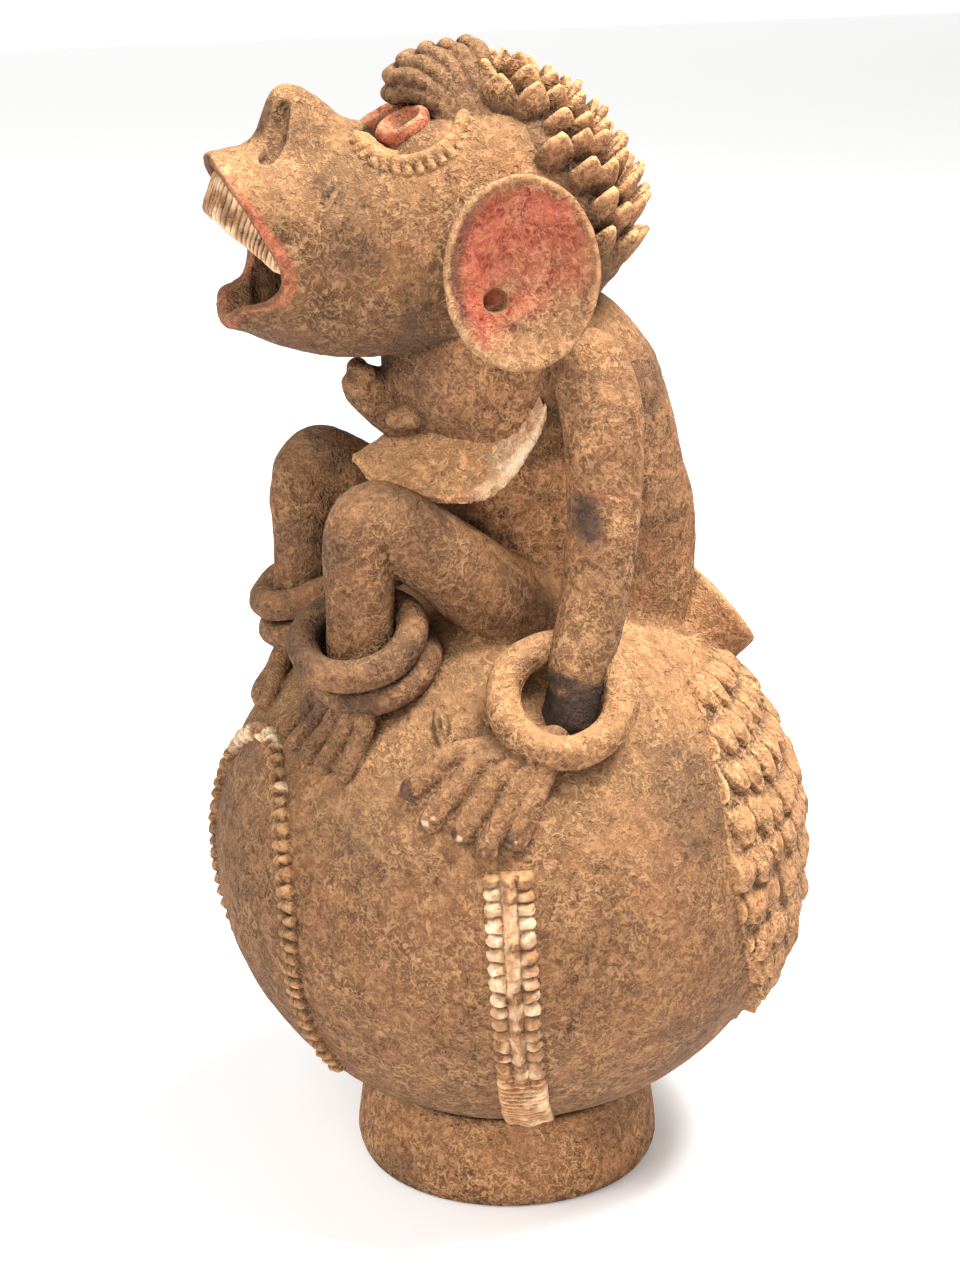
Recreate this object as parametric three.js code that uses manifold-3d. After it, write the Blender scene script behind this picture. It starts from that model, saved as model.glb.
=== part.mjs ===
// Monkey effigy vessel: a round hollow jar on a ring stand, with a seated monkey modelled on its top.
// The monkey holds its head back with the mouth open, and rests hands and feet on the jar's shoulder.
// Units are millimetres. +Z is up, -Y is the monkey's front and +X is its left side.
// The origin is the middle of the ring stand's bottom.

import * as THREE from 'three';
import { mergeVertices } from 'three/addons/utils/BufferGeometryUtils.js';
import Module from 'manifold-3d';

const wasm = await Module();
wasm.setup();

// Clearance left at every seam where one clay piece meets another
const SEAM = 0.3;

// Ring stand
const STAND_FOOT_RADIUS = 84;
const STAND_SWELL = 2.5;
const STAND_RIM_RADIUS = 75.5;
const STAND_RIM_HEIGHT = 51.5;
const STAND_WALL = 13;
const STAND_SEAT = 2;

// Jar
const JAR_RADIUS = 165;
const JAR_HALF_HEIGHT = 155;
const JAR_WALL = 9;
const VENT_RADIUS = 14;
const VENT_Y = 34;

// Spout behind the monkey's back
const SPOUT_RADIUS = 29;
const SPOUT_BORE_RADIUS = 21;
const SPOUT_LENGTH = 24;
const SPOUT_TILT = 38;
const SPOUT_BASE_Y = 108;
const SPOUT_ROOT = 30;
const SPOUT_LIP = 2.5;

// Torso and chest
const TORSO_WALL = 11;
const CAPE_REACH_ACROSS = 66;
const CAPE_REACH_AHEAD = 78;
const CAPE_CENTRE_Y = -9;
const CAPE_TURN = 98;
const CAPE_THICKNESS = 7;
const CAPE_RIM_HEIGHT = 68;
const CAPE_FRONT_LIFT = 11;
const CAPE_FRONT_TURN = 22;
const CAPE_SHOULDER_CLIMB = 51;
const CAPE_SHOULDER_TURN = 50;
const CAPE_THROAT_HEIGHT = 100;
const CAPE_THROAT_CLIMB = 26;

// Head
const HEAD_WALL = 9;
const HEAD_LIFT = 197;
const EAR_WIDTH = 82;
const EAR_HEIGHT = 102;
const EAR_DEPTH = 15;
const EAR_WALL = 9;
const EAR_HOLE_RADIUS = 7.5;
const EAR_SPREAD = 86;
const EAR_Y = -17;
const EAR_DROP = 8;
const EAR_HOLE_DROP = 14;
const EAR_HOLE_AHEAD = 13;
const EYE_RADIUS = 16;
const EYE_RIM_RADIUS = 13.5;
const EYE_SPREAD = 24;
const RIGHT_EYE_SINK = 5;
const EYE_LENGTH = 26;
const EYE_DISH = 6;

// Hair
const HAIR_THICKNESS = 4;
const HAIRLINE_Y = -10;
const HAIRLINE_HEIGHT = 55;
const HAIRLINE_TILT = 11;
const NAPE_Y = 55;
const NAPE_DROP = 30;
const NAPE_TILT = 20;
const TEMPLE_SPREAD = 65;
const TEMPLE_TILT = 6;
const SPIKE_LENGTH = 18;
const SPIKE_WIDTH = 16;
const SPIKE_DEPTH = 8;
const SPIKE_LIFT = 0.7;
const SPIKE_ROWS = 9;
const SPIKE_FIRST_TILT = -5;
const SPIKE_ROW_STEP = 14;
const SPIKE_STEP = 14.5;
const SPIKE_ROW_REACH = 56;
const SPIKE_FIRST_REACH = 34;

// Limbs
const ARM_RADIUS = 20;
const WRIST_RADIUS = 16;
const LEG_SPREAD = 50;
const RIGHT_LEG_LEAD = 6;
const KNEE_RADIUS = 22;
const ANKLE_RADIUS = 18;
const FINGER_RADIUS = 8.5;
const TOE_RADIUS = 6.5;

// Clay rings on wrists and ankles
const WRIST_RING_RADIUS = 30.5;
const WRIST_RING_TUBE = 9.5;
const ANKLE_RING_RADIUS = 29.5;
const ANKLE_RING_TUBE = 8.8;
const LOWER_RING_TUBE = 7.8;

// Applied strips and scales on the jar
const STRIP_WIDTH = 28;
const STRIP_RELIEF = 5.5;
const STRIP_NOTCH = 12;
const LOOP_WIDTH = 11;
const LOOP_RELIEF = 5;
const SCALE_WIDTH = 21;
const SCALE_HEIGHT = 24;
const SCALE_RELIEF = 6;
const SCALE_LOW_EXTRA = 3;

// Facet counts
const ROUND = 28;
const LIMB_SIDES = 10;
const RING_SIDES = 6;

// Sizes that follow from the ones above
const SEAT_COSINE = Math.sqrt(1 - (STAND_RIM_RADIUS / JAR_RADIUS) ** 2);
const JAR_CENTRE_Z = STAND_RIM_HEIGHT + 2 * SEAM + JAR_HALF_HEIGHT * SEAT_COSINE;
const JAR_TOP = JAR_CENTRE_Z + JAR_HALF_HEIGHT;
const HEAD_Z = JAR_TOP + HEAD_LIFT;
const ANKLE_Y = -0.6 * JAR_RADIUS;

const SIDES = [['left', 1], ['right', -1]];
const UP = new THREE.Vector3(0, 0, 1);
const SIDEWAYS = new THREE.Vector3(1, 0, 0);
const BACKWARDS = new THREE.Vector3(0, 1, 0);

const clay = { color: 0x9a7250, roughness: 0.95, metalness: 0 };
const paleClay = { color: 0xb58a60, roughness: 0.95, metalness: 0 };
const darkClay = { color: 0x7a583c, roughness: 0.95, metalness: 0 };
const redOchre = { color: 0xa8503c, roughness: 0.9, metalness: 0 };
const whitePaint = { color: 0xc9b190, roughness: 0.95, metalness: 0 };

function radians(degrees) {
  return THREE.MathUtils.degToRad(degrees);
}

// Turns a closed geometry into a solid for joining and cutting, facing outwards whichever way it ran
function toSolid(geometry) {
  const bare = geometry.clone();
  bare.deleteAttribute('normal');
  bare.deleteAttribute('uv');
  const merged = mergeVertices(bare, 1e-3);
  const position = merged.attributes.position;
  const corners = merged.index.array;
  const kept = [];
  let volume = 0;
  for (let i = 0; i < corners.length; i += 3) {
    const [a, b, c] = corners.slice(i, i + 3);
    if (a === b || b === c || c === a) continue;
    kept.push([a, b, c]);
    const [p, q, r] = [a, b, c].map((k) => new THREE.Vector3().fromBufferAttribute(position, k));
    volume += p.dot(q.cross(r));
  }
  const triangles = kept.flatMap(([a, b, c]) => (volume > 0 ? [a, b, c] : [a, c, b]));
  return new wasm.Manifold(new wasm.Mesh({
    numProp: 3,
    vertProperties: new Float32Array(position.array),
    triVerts: new Uint32Array(triangles),
  }));
}

function toGeometry(solid) {
  const mesh = solid.getMesh();
  const geometry = new THREE.BufferGeometry();
  const points = [];
  for (let i = 0; i < mesh.vertProperties.length; i += mesh.numProp) {
    points.push(...mesh.vertProperties.slice(i, i + 3));
  }
  geometry.setAttribute('position', new THREE.Float32BufferAttribute(points, 3));
  geometry.setIndex([...mesh.triVerts]);
  geometry.computeVertexNormals();
  return geometry;
}

function join(solids) {
  return solids.reduce((whole, next) => whole.add(next));
}

function cut(solid, ...cutters) {
  return cutters.reduce((rest, cutter) => rest.subtract(cutter), solid);
}

// Profile points are [radius, height]; the axis of revolution becomes +Z
function revolve(profile, segments = ROUND) {
  const points = profile.map(([r, z]) => new THREE.Vector2(r, z));
  return new THREE.LatheGeometry(points, segments).rotateX(Math.PI / 2);
}

// Moves a geometry made about +Z so that its axis points along a direction, at a place
function placed(geometry, at, axis, scale = new THREE.Vector3(1, 1, 1)) {
  const turn = new THREE.Quaternion().setFromUnitVectors(UP, axis.clone().normalize());
  return geometry.clone().applyMatrix4(new THREE.Matrix4().compose(at, turn, scale));
}

// A smooth body through round sections; each station is [x, y, z, half width, half depth]
// The half width lies along the side direction; a section faces along the spine, or along a fixed facing
// Both ends are rounded, by a share of the end section's smaller half size
function loft(stations, options = {}) {
  const { side = SIDEWAYS, facing = null, steps = 2, sides = LIMB_SIDES, tip = 0.7, grow = 0 } = options;
  const spine = new THREE.CatmullRomCurve3(stations.map(([x, y, z]) => new THREE.Vector3(x, y, z)));
  const sizes = new THREE.CatmullRomCurve3(stations.map(([, , , a, b = a]) => new THREE.Vector3(a, b, 0)));
  const count = (stations.length - 1) * steps;
  const rings = [];
  const section = (t, push, shrink) => {
    const along = facing ? facing.clone().normalize() : spine.getTangent(t);
    const u = side.clone().addScaledVector(along, -side.dot(along)).normalize();
    const v = along.clone().cross(u);
    const size = sizes.getPoint(t);
    const depth = push * (tip * Math.min(size.x, size.y) + grow);
    const centre = spine.getPoint(t).addScaledVector(along, depth);
    const ring = [];
    for (let k = 0; k < sides; k += 1) {
      const angle = (2 * Math.PI * k) / sides;
      ring.push(centre.clone()
        .addScaledVector(u, (size.x + grow) * shrink * Math.cos(angle))
        .addScaledVector(v, (size.y + grow) * shrink * Math.sin(angle)));
    }
    return ring;
  };
  const capAngle = radians(45);
  rings.push(section(0, -Math.sin(capAngle), Math.cos(capAngle)));
  for (let i = 0; i <= count; i += 1) rings.push(section(i / count, 0, 1));
  rings.push(section(1, Math.sin(capAngle), Math.cos(capAngle)));
  const poles = [section(0, -1, 0)[0], section(1, 1, 0)[0]];
  const points = [...rings.flat(), ...poles];
  const index = [];
  const last = (rings.length - 1) * sides;
  for (let k = 0; k < sides; k += 1) {
    const next = (k + 1) % sides;
    for (let i = 0; i < last; i += sides) {
      index.push(i + k, i + next, i + sides + next, i + k, i + sides + next, i + sides + k);
    }
    index.push(points.length - 2, next, k, points.length - 1, last + k, last + next);
  }
  const geometry = new THREE.BufferGeometry().setFromPoints(points);
  geometry.setIndex(index);
  return toSolid(geometry);
}

// A place on the jar: azimuth from the front towards the left side, latitude above its widest line
function onJar(azimuth, latitude, lift = 0) {
  const reach = (JAR_RADIUS + lift) * Math.cos(radians(latitude));
  return new THREE.Vector3(
    reach * Math.sin(radians(azimuth)),
    -reach * Math.cos(radians(azimuth)),
    JAR_CENTRE_Z + (JAR_HALF_HEIGHT + lift) * Math.sin(radians(latitude)),
  );
}

function jarNormal(azimuth, latitude) {
  const across = Math.cos(radians(latitude)) / JAR_RADIUS;
  return new THREE.Vector3(
    across * Math.sin(radians(azimuth)),
    -across * Math.cos(radians(azimuth)),
    Math.sin(radians(latitude)) / JAR_HALF_HEIGHT,
  ).normalize();
}

// The jar's wall as an arc between two latitudes, for a profile
function jarArc(inset, fromLatitude, toLatitude, steps) {
  const arc = [];
  for (let i = 0; i <= steps; i += 1) {
    const latitude = radians(fromLatitude + ((toLatitude - fromLatitude) * i) / steps);
    arc.push([
      Math.max(0, (JAR_RADIUS - inset) * Math.cos(latitude)),
      JAR_CENTRE_Z + (JAR_HALF_HEIGHT - inset) * Math.sin(latitude),
    ]);
  }
  return arc;
}

// The whole jar without its hollow, to cut what rests on it
function jarBody(grow = 0) {
  return toSolid(revolve(jarArc(-grow, -90, 90, 16)));
}

const jar = jarBody(SEAM);

// The stand's outside from the foot up: its rim is made a little too tall, to be cut to the jar's round
function standOutline(grow = 0) {
  return new THREE.SplineCurve([
    new THREE.Vector2(STAND_FOOT_RADIUS + grow, 0),
    new THREE.Vector2(STAND_FOOT_RADIUS + STAND_SWELL + grow, STAND_RIM_HEIGHT * 0.3),
    new THREE.Vector2(STAND_RIM_RADIUS + STAND_WALL / 2 + grow, STAND_RIM_HEIGHT * 0.85),
    new THREE.Vector2(STAND_RIM_RADIUS + grow, STAND_RIM_HEIGHT + STAND_SEAT),
  ]).getPoints(6).map((p) => [p.x, p.y]);
}

// The jar seats in the rim
function ringStand() {
  const outer = standOutline();
  const inner = [
    [STAND_RIM_RADIUS - STAND_WALL / 2, STAND_RIM_HEIGHT * 0.85],
    [STAND_FOOT_RADIUS - STAND_WALL, 0],
    outer[0],
  ];
  return cut(toSolid(revolve([...outer, ...inner], ROUND)), jar);
}

// The room that the stand takes up, filled to its axis
function standRoom() {
  const outer = standOutline(SEAM);
  return toSolid(revolve([[0, 0], ...outer, [0, outer.at(-1)[1]]], ROUND));
}

function jarShell(fromLatitude, toLatitude) {
  const seamAngle = THREE.MathUtils.radToDeg(SEAM / 2 / JAR_HALF_HEIGHT);
  const trim = (latitude) => (latitude === 0 ? Math.sign(fromLatitude + toLatitude) * seamAngle : latitude);
  const outside = jarArc(0, trim(fromLatitude), trim(toLatitude), 8);
  const inside = jarArc(JAR_WALL, trim(toLatitude), trim(fromLatitude), 5);
  return toSolid(revolve([...outside, ...inside, outside[0]]));
}

// Spout: a short collar that leans back from the shoulder of the jar, close behind the torso
const spoutAxis = new THREE.Vector3(0, Math.cos(radians(SPOUT_TILT)), Math.sin(radians(SPOUT_TILT)));
const spoutLatitude = THREE.MathUtils.radToDeg(Math.acos(SPOUT_BASE_Y / JAR_RADIUS));
const spoutBase = onJar(180, spoutLatitude);

function spoutCore(radius, from, to) {
  const plug = revolve([[0, from], [radius, from], [radius, to], [0, to]], 20);
  return toSolid(placed(plug, spoutBase, spoutAxis));
}

function spoutCollar() {
  const wall = revolve([
    [SPOUT_BORE_RADIUS, -SPOUT_ROOT],
    [SPOUT_RADIUS, -SPOUT_ROOT],
    [SPOUT_RADIUS, SPOUT_LENGTH - SPOUT_LIP],
    [SPOUT_RADIUS - SPOUT_LIP, SPOUT_LENGTH],
    [SPOUT_BORE_RADIUS + SPOUT_LIP, SPOUT_LENGTH],
    [SPOUT_BORE_RADIUS, SPOUT_LENGTH - SPOUT_LIP],
    [SPOUT_BORE_RADIUS, -SPOUT_ROOT],
  ], 20);
  return cut(toSolid(placed(wall, spoutBase, spoutAxis)), jar);
}

function jarUpperDome() {
  const ventReach = JAR_WALL * 4;
  const vent = revolve([[0, -ventReach], [VENT_RADIUS, -ventReach], [VENT_RADIUS, ventReach], [0, ventReach]], 16);
  const ventAt = new THREE.Vector3(0, VENT_Y, JAR_TOP);
  return cut(
    jarShell(0, 90),
    spoutCore(SPOUT_BORE_RADIUS, -2 * SPOUT_ROOT, 2 * SPOUT_ROOT),
    toSolid(placed(vent, ventAt, UP)),
  );
}

// Torso: widest at the shoulders, its back a long bow; hollow and open below, over the jar's vent
const torsoStations = [
  [0, 34, JAR_TOP - 30, 42, 72],
  [0, 32, JAR_TOP + 4, 42, 76],
  [0, 29, JAR_TOP + 40, 47, 77],
  [0, 22, JAR_TOP + 70, 54, 75],
  [0, 18, JAR_TOP + 100, 59, 71],
  [0, 23, JAR_TOP + 130, 58, 55],
  [0, 26, JAR_TOP + 150, 46, 36],
];

function torsoForm(grow = 0) {
  return loft(torsoStations, { facing: UP, sides: 16, steps: 1, tip: 0.4, grow });
}

function torsoHollow() {
  const inner = torsoStations.slice(0, 6)
    .map(([x, y, z, wide, deep]) => [x, y, z, wide - TORSO_WALL, deep - TORSO_WALL]);
  inner[0][2] -= JAR_WALL;
  inner[5][2] -= 2 * TORSO_WALL;
  return loft(inner, { facing: UP, sides: 12, steps: 1, tip: 0.4 });
}

const torso = torsoForm(SEAM);

// How far the cape's rim lies above the jar: raised in front, and climbing to the shoulders
function capeRimHeight(turn) {
  const front = Math.exp(-((turn / CAPE_FRONT_TURN) ** 2));
  const past = Math.max(0, Math.abs(turn) - CAPE_SHOULDER_TURN) / (CAPE_TURN - CAPE_SHOULDER_TURN);
  return CAPE_RIM_HEIGHT + CAPE_FRONT_LIFT * front + CAPE_SHOULDER_CLIMB * past ** 3;
}

// Chest: a cape that sweeps down from the throat to a sharp rim, which overhangs the belly
// It is thinnest at its rim, and where it climbs to the shoulders its thickness lies backwards
function chestForm(grow = 0) {
  const columns = 24;
  const reaches = [1, 0.94, 0.8, 0.55];
  const hollowness = 1.3;
  const throatSwell = 1.3;
  const rimShare = 0.6;
  const climbStart = CAPE_SHOULDER_TURN + 10;
  const pointAt = (i, j, outer) => {
    const turn = (CAPE_TURN + grow) * ((2 * i) / columns - 1);
    const reach = reaches[j];
    const share = (1 - reach) / (1 - reaches[reaches.length - 1]);
    const throatHeight = CAPE_THROAT_HEIGHT + CAPE_THROAT_CLIMB * (turn / CAPE_TURN) ** 2;
    const rise = THREE.MathUtils.lerp(capeRimHeight(turn), throatHeight, share ** hollowness);
    const climbing = Math.max(0, Math.abs(turn) - climbStart) / (CAPE_TURN - climbStart);
    const thickness = CAPE_THICKNESS * (1 + throatSwell * share) * (j ? 1 : rimShare);
    const drop = outer ? -grow : thickness * (1 - 0.4 * climbing) + grow;
    const shift = outer ? -grow : thickness * climbing + grow;
    return new THREE.Vector3(
      (CAPE_REACH_ACROSS + grow) * reach * Math.sin(radians(turn)),
      CAPE_CENTRE_Y - (CAPE_REACH_AHEAD + grow) * reach * Math.cos(radians(turn)) + shift * climbing,
      JAR_TOP + rise - drop,
    );
  };
  return slab(columns, reaches.length - 1, pointAt);
}

// Head: a tubular snout that runs back into a round skull; the section is wide across X and deep in Z
const headStations = [
  [0, -182, HEAD_Z + 3, 36, 42],
  [0, -150, HEAD_Z + 2, 41, 47],
  [0, -130, HEAD_Z - 1, 48, 53],
  [0, -100, HEAD_Z - 2, 56, 60],
  [0, -70, HEAD_Z, 63, 63],
  [0, -38, HEAD_Z + 6, 68, 68],
  [0, -10, HEAD_Z + 8, 71, 68],
  [0, 16, HEAD_Z + 6, 68, 60],
  [0, 38, HEAD_Z + 3, 54, 45],
];

function headForm(grow = 0) {
  return loft(headStations, { facing: BACKWARDS, sides: 16, tip: 0.45, grow });
}

// The jaws part in a notch: upper lip far forward, corner set back, lower lip curving up to it
function mouthNotch() {
  const notch = new THREE.Shape();
  notch.moveTo(-230, HEAD_Z + 80);
  notch.lineTo(-163, HEAD_Z + 80);
  notch.lineTo(-162, HEAD_Z + 47);
  notch.lineTo(-134, HEAD_Z - 9);
  notch.quadraticCurveTo(-136, HEAD_Z - 24, -156, HEAD_Z - 36);
  notch.lineTo(-158, HEAD_Z - 80);
  notch.lineTo(-230, HEAD_Z - 80);
  const reach = 160;
  const block = new THREE.ExtrudeGeometry(notch, { depth: reach, bevelEnabled: false, curveSegments: 5 });
  const stand = new THREE.Matrix4().makeBasis(BACKWARDS, UP, SIDEWAYS);
  return toSolid(block.applyMatrix4(stand).translate(-reach / 2, 0, 0));
}

// The mouth opens into the hollow head
function mouthCavity() {
  const inner = headStations.slice(0, 8).map(([x, y, z, wide, deep], i) => {
    const wall = HEAD_WALL + Math.max(0, i - 1) * 1.2;
    return [x, y, z, wide - wall, deep - wall];
  });
  inner[0][1] -= 30;
  return loft(inner, { facing: BACKWARDS, sides: 14, steps: 1, tip: 0.3 });
}

const head = headForm(SEAM);

function throatForm(grow = 0) {
  return loft([
    [0, -9, JAR_TOP + 90, 48, 44],
    [0, -18, JAR_TOP + 112, 54, 49],
    [0, -21, JAR_TOP + 138, 52, 48],
    [0, -18, JAR_TOP + 160, 44, 42],
  ], { facing: UP, sides: 14, steps: 1, tip: 0.1, grow });
}

// A knobbed lug under the chin: three short rolls across its end, and a flat oval disc on either side
function throatLug() {
  const z = JAR_TOP + 106;
  const trunk = loft([
    [0, -50, z - 6, 15, 13],
    [0, -66, z + 1, 16, 14],
    [0, -78, z + 9, 13, 13],
  ], { sides: 8, steps: 1 });
  const rolls = [[-84, 19], [-87, 11], [-81, 2]].map(([y, up]) => loft([
    [-8, y, z + up, 5.5, 5.5],
    [0, y - 2, z + up, 6, 6],
    [8, y, z + up, 5.5, 5.5],
  ], { sides: 5, steps: 1, side: BACKWARDS }));
  const discs = SIDES.map(([, s]) => loft([
    [s * 12, -60, z - 4, 10, 6],
    [s * 20, -62, z - 1, 9, 5.5],
  ], { sides: 8, steps: 1, side: new THREE.Vector3(0, 0.5, -0.85), tip: 0.2 }));
  return join([trunk, ...rolls, ...discs]);
}

function teethPlate() {
  const z = HEAD_Z;
  return loft([
    [-38, -132, z - 2, 6, 3],
    [-33, -145, z + 14, 10, 3],
    [-18, -154, z + 25, 11, 3],
    [0, -157, z + 28, 11, 3],
    [18, -154, z + 25, 11, 3],
    [33, -145, z + 14, 10, 3],
    [38, -132, z - 2, 6, 3],
  ], { side: new THREE.Vector3(0, -0.35, -1), sides: 6 });
}

function noseForm() {
  const z = HEAD_Z;
  const body = loft([
    [0, -108, z + 40, 27, 31],
    [0, -110.5, z + 56, 22, 25],
    [0, -114, z + 68, 15, 18],
    [0, -118, z + 76, 9, 10],
  ], { facing: UP, sides: 12, tip: 0.5 });
  const nostrils = SIDES.map(([, s]) => loft([
    [s * 15, -134, z + 48, 5, 6],
    [s * 11, -129, z + 66, 4, 5],
  ], { sides: 6, steps: 1 }));
  return cut(body, ...nostrils);
}

// An eye is a short stalk with a dished end, aimed upwards and a little forwards
function eyeAxis(s) {
  return new THREE.Vector3(s * 0.08, -0.36, 0.93).normalize();
}

function eyeRim(s) {
  const sink = s < 0 ? RIGHT_EYE_SINK : 0;
  return new THREE.Vector3(s * EYE_SPREAD, -67, HEAD_Z + 65).addScaledVector(eyeAxis(s), -sink);
}

function eyeForm(s, grow = 0) {
  const stalk = revolve([
    [0, -EYE_LENGTH],
    [EYE_RADIUS + grow, -EYE_LENGTH],
    [EYE_RIM_RADIUS + grow, -3],
    [EYE_RIM_RADIUS - 2 + grow, grow],
    [EYE_RIM_RADIUS - 5, -1 + grow],
    [EYE_RIM_RADIUS - 8, -EYE_DISH + grow],
    [0, -EYE_DISH + grow],
  ], 14);
  return toSolid(placed(stalk, eyeRim(s), eyeAxis(s)));
}

// The hollow that an eye stands in
function eyeSocket(s) {
  const bowl = new THREE.SphereGeometry(EYE_RADIUS + 8, 12, 8).rotateX(Math.PI / 2);
  const at = eyeRim(s).addScaledVector(eyeAxis(s), -4);
  return toSolid(placed(bowl, at, eyeAxis(s), new THREE.Vector3(1, 1, 0.5)));
}

// Finds where a straight line first meets the head's surface
const bothSides = new THREE.MeshBasicMaterial({ side: THREE.DoubleSide });
const headSkin = new THREE.Mesh(toGeometry(headForm()), bothSides);

function onHead(from, direction) {
  const ray = new THREE.Raycaster(from, direction.clone().normalize());
  return ray.intersectObject(headSkin)[0].point;
}

// Lashes: a toothed ridge on the head that curves round the lower and outer side of the eye
function lashRidge(s) {
  const axis = eyeAxis(s);
  const backwards = BACKWARDS.clone().projectOnPlane(axis).normalize();
  const outwards = new THREE.Vector3(s, 0, 0).projectOnPlane(axis).normalize();
  const above = eyeRim(s).addScaledVector(axis, 60);
  const teeth = 10;
  const stations = [];
  for (let i = 0; i <= 2 * teeth; i += 1) {
    const share = i / (2 * teeth);
    const turn = radians(150 * share);
    const radius = THREE.MathUtils.lerp(25, 33, share) + (i % 2 ? 1.5 : 0);
    const from = above.clone()
      .addScaledVector(backwards, -radius * Math.cos(turn))
      .addScaledVector(outwards, radius * Math.sin(turn));
    const at = onHead(from, axis.clone().negate());
    stations.push([at.x, at.y, at.z, i % 2 ? 5.5 : 3.5, i % 2 ? 4 : 3.2]);
  }
  return loft(stations, { side: axis, sides: 5, steps: 1 });
}

// An ear is a shallow oval dish with a round hole low in its middle
function earForm(s) {
  const half = EAR_HEIGHT / 2;
  const dish = revolve([
    [0, -EAR_WALL],
    [half * 0.45, -EAR_WALL],
    [half * 0.85, EAR_DEPTH - EAR_WALL - 2],
    [half, EAR_DEPTH - 4],
    [half - 3, EAR_DEPTH],
    [half - 9, EAR_DEPTH - 3],
    [half * 0.6, 2],
    [0, 0],
  ], 22);
  const at = new THREE.Vector3(s * (EAR_SPREAD - EAR_DEPTH + 3), EAR_Y, HEAD_Z - EAR_DROP);
  const outward = new THREE.Vector3(s * 0.97, -0.19, 0.1);
  const turned = new THREE.Matrix4().makeScale(1, EAR_WIDTH / EAR_HEIGHT, 1);
  const oval = toSolid(placed(dish.applyMatrix4(turned), at, outward));
  const reach = 30;
  const bore = revolve([[0, -reach], [EAR_HOLE_RADIUS, -reach], [EAR_HOLE_RADIUS, reach], [0, reach]], 12);
  const boreAt = at.clone().add(new THREE.Vector3(0, -EAR_HOLE_AHEAD, -EAR_HOLE_DROP));
  return cut(oval, toSolid(placed(bore, boreAt, outward)));
}

// A direction over the skull: tilt runs from the top to the back, lean from the middle outwards
const skullCentre = new THREE.Vector3(0, -8, HEAD_Z + 6);

function overSkull(tilt, lean) {
  return new THREE.Vector3(
    Math.sin(radians(lean)),
    Math.cos(radians(lean)) * Math.sin(radians(tilt)),
    Math.cos(radians(lean)) * Math.cos(radians(tilt)),
  );
}

// A spike is a broad pointed petal of clay: flat, ridged, facing outwards, and leaning upwards
// It leans the more, the further down the side of the head it stands
function spike(tilt, lean) {
  const outward = overSkull(tilt, lean);
  const root = onHead(skullCentre, outward);
  const along = outward.clone().addScaledVector(UP, SPIKE_LIFT * (1 + Math.abs(outward.x))).normalize();
  const across = along.clone().cross(outward).normalize();
  const over = along.clone().cross(across);
  const petal = revolve([
    [0, -HAIR_THICKNESS / 2],
    [SPIKE_WIDTH * 0.42, -HAIR_THICKNESS / 2],
    [SPIKE_WIDTH / 2, SPIKE_LENGTH * 0.45],
    [0, SPIKE_LENGTH],
  ], 4).rotateZ(Math.PI / 2).scale(1, SPIKE_DEPTH / SPIKE_WIDTH, 1);
  return toSolid(petal.applyMatrix4(new THREE.Matrix4().makeBasis(across, over, along).setPosition(root)));
}

// The cap of hair: a thin layer over the crown and nape that carries the rows of clay spikes
function hairCap() {
  const half = 200;
  const block = (x, y, z) => new THREE.BoxGeometry(2 * half, 2 * half, 2 * half).translate(x, y, z);
  const front = block(0, -half, 0).rotateX(radians(HAIRLINE_TILT))
    .translate(0, HAIRLINE_Y, HEAD_Z + HAIRLINE_HEIGHT);
  const below = block(0, 0, -half).rotateX(radians(-NAPE_TILT))
    .translate(0, NAPE_Y, HEAD_Z - NAPE_DROP);
  const flanks = SIDES.map(([, s]) => block(s * half, 0, 0)
    .rotateY(radians(-s * TEMPLE_TILT)).translate(s * TEMPLE_SPREAD, 0, HEAD_Z));
  const layer = cut(headForm(HAIR_THICKNESS), ...[front, below, ...flanks].map(toSolid));
  const spikes = [];
  for (let row = 0; row < SPIKE_ROWS; row += 1) {
    const tilt = SPIKE_FIRST_TILT + row * SPIKE_ROW_STEP;
    const first = row % 2 ? SPIKE_STEP / 2 : 0;
    const reach = Math.min(SPIKE_ROW_REACH, SPIKE_FIRST_REACH + SPIKE_STEP * row);
    for (let lean = first; lean <= reach; lean += SPIKE_STEP) {
      spikes.push(spike(tilt, lean));
      if (lean > 0) spikes.push(spike(tilt, -lean));
    }
  }
  return cut(join([layer, ...spikes]), head, crestLocks(SEAM));
}

// Crest: thick locks that fan up from both temples and meet over the forehead in a scalloped ridge
function crestLocks(grow = 0) {
  const tips = [[-62, 77], [-59, 90], [-48, 98], [-34, 101], [-20, 102]];
  const locks = tips.flatMap(([y, z], i) => SIDES.map(([, s]) => loft([
    [s * 40, -37 + 4.5 * i, HEAD_Z + 57 + i, 6, 5],
    [s * 23, (y - 30) / 2, HEAD_Z + (z + 68) / 2 + 5, 7.5, 6],
    [s * 4, y, HEAD_Z + z - 6, 7, 6],
  ], { sides: 5, steps: 1, side: new THREE.Vector3(0, 1, 0.3), grow })));
  return join(locks);
}

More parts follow.
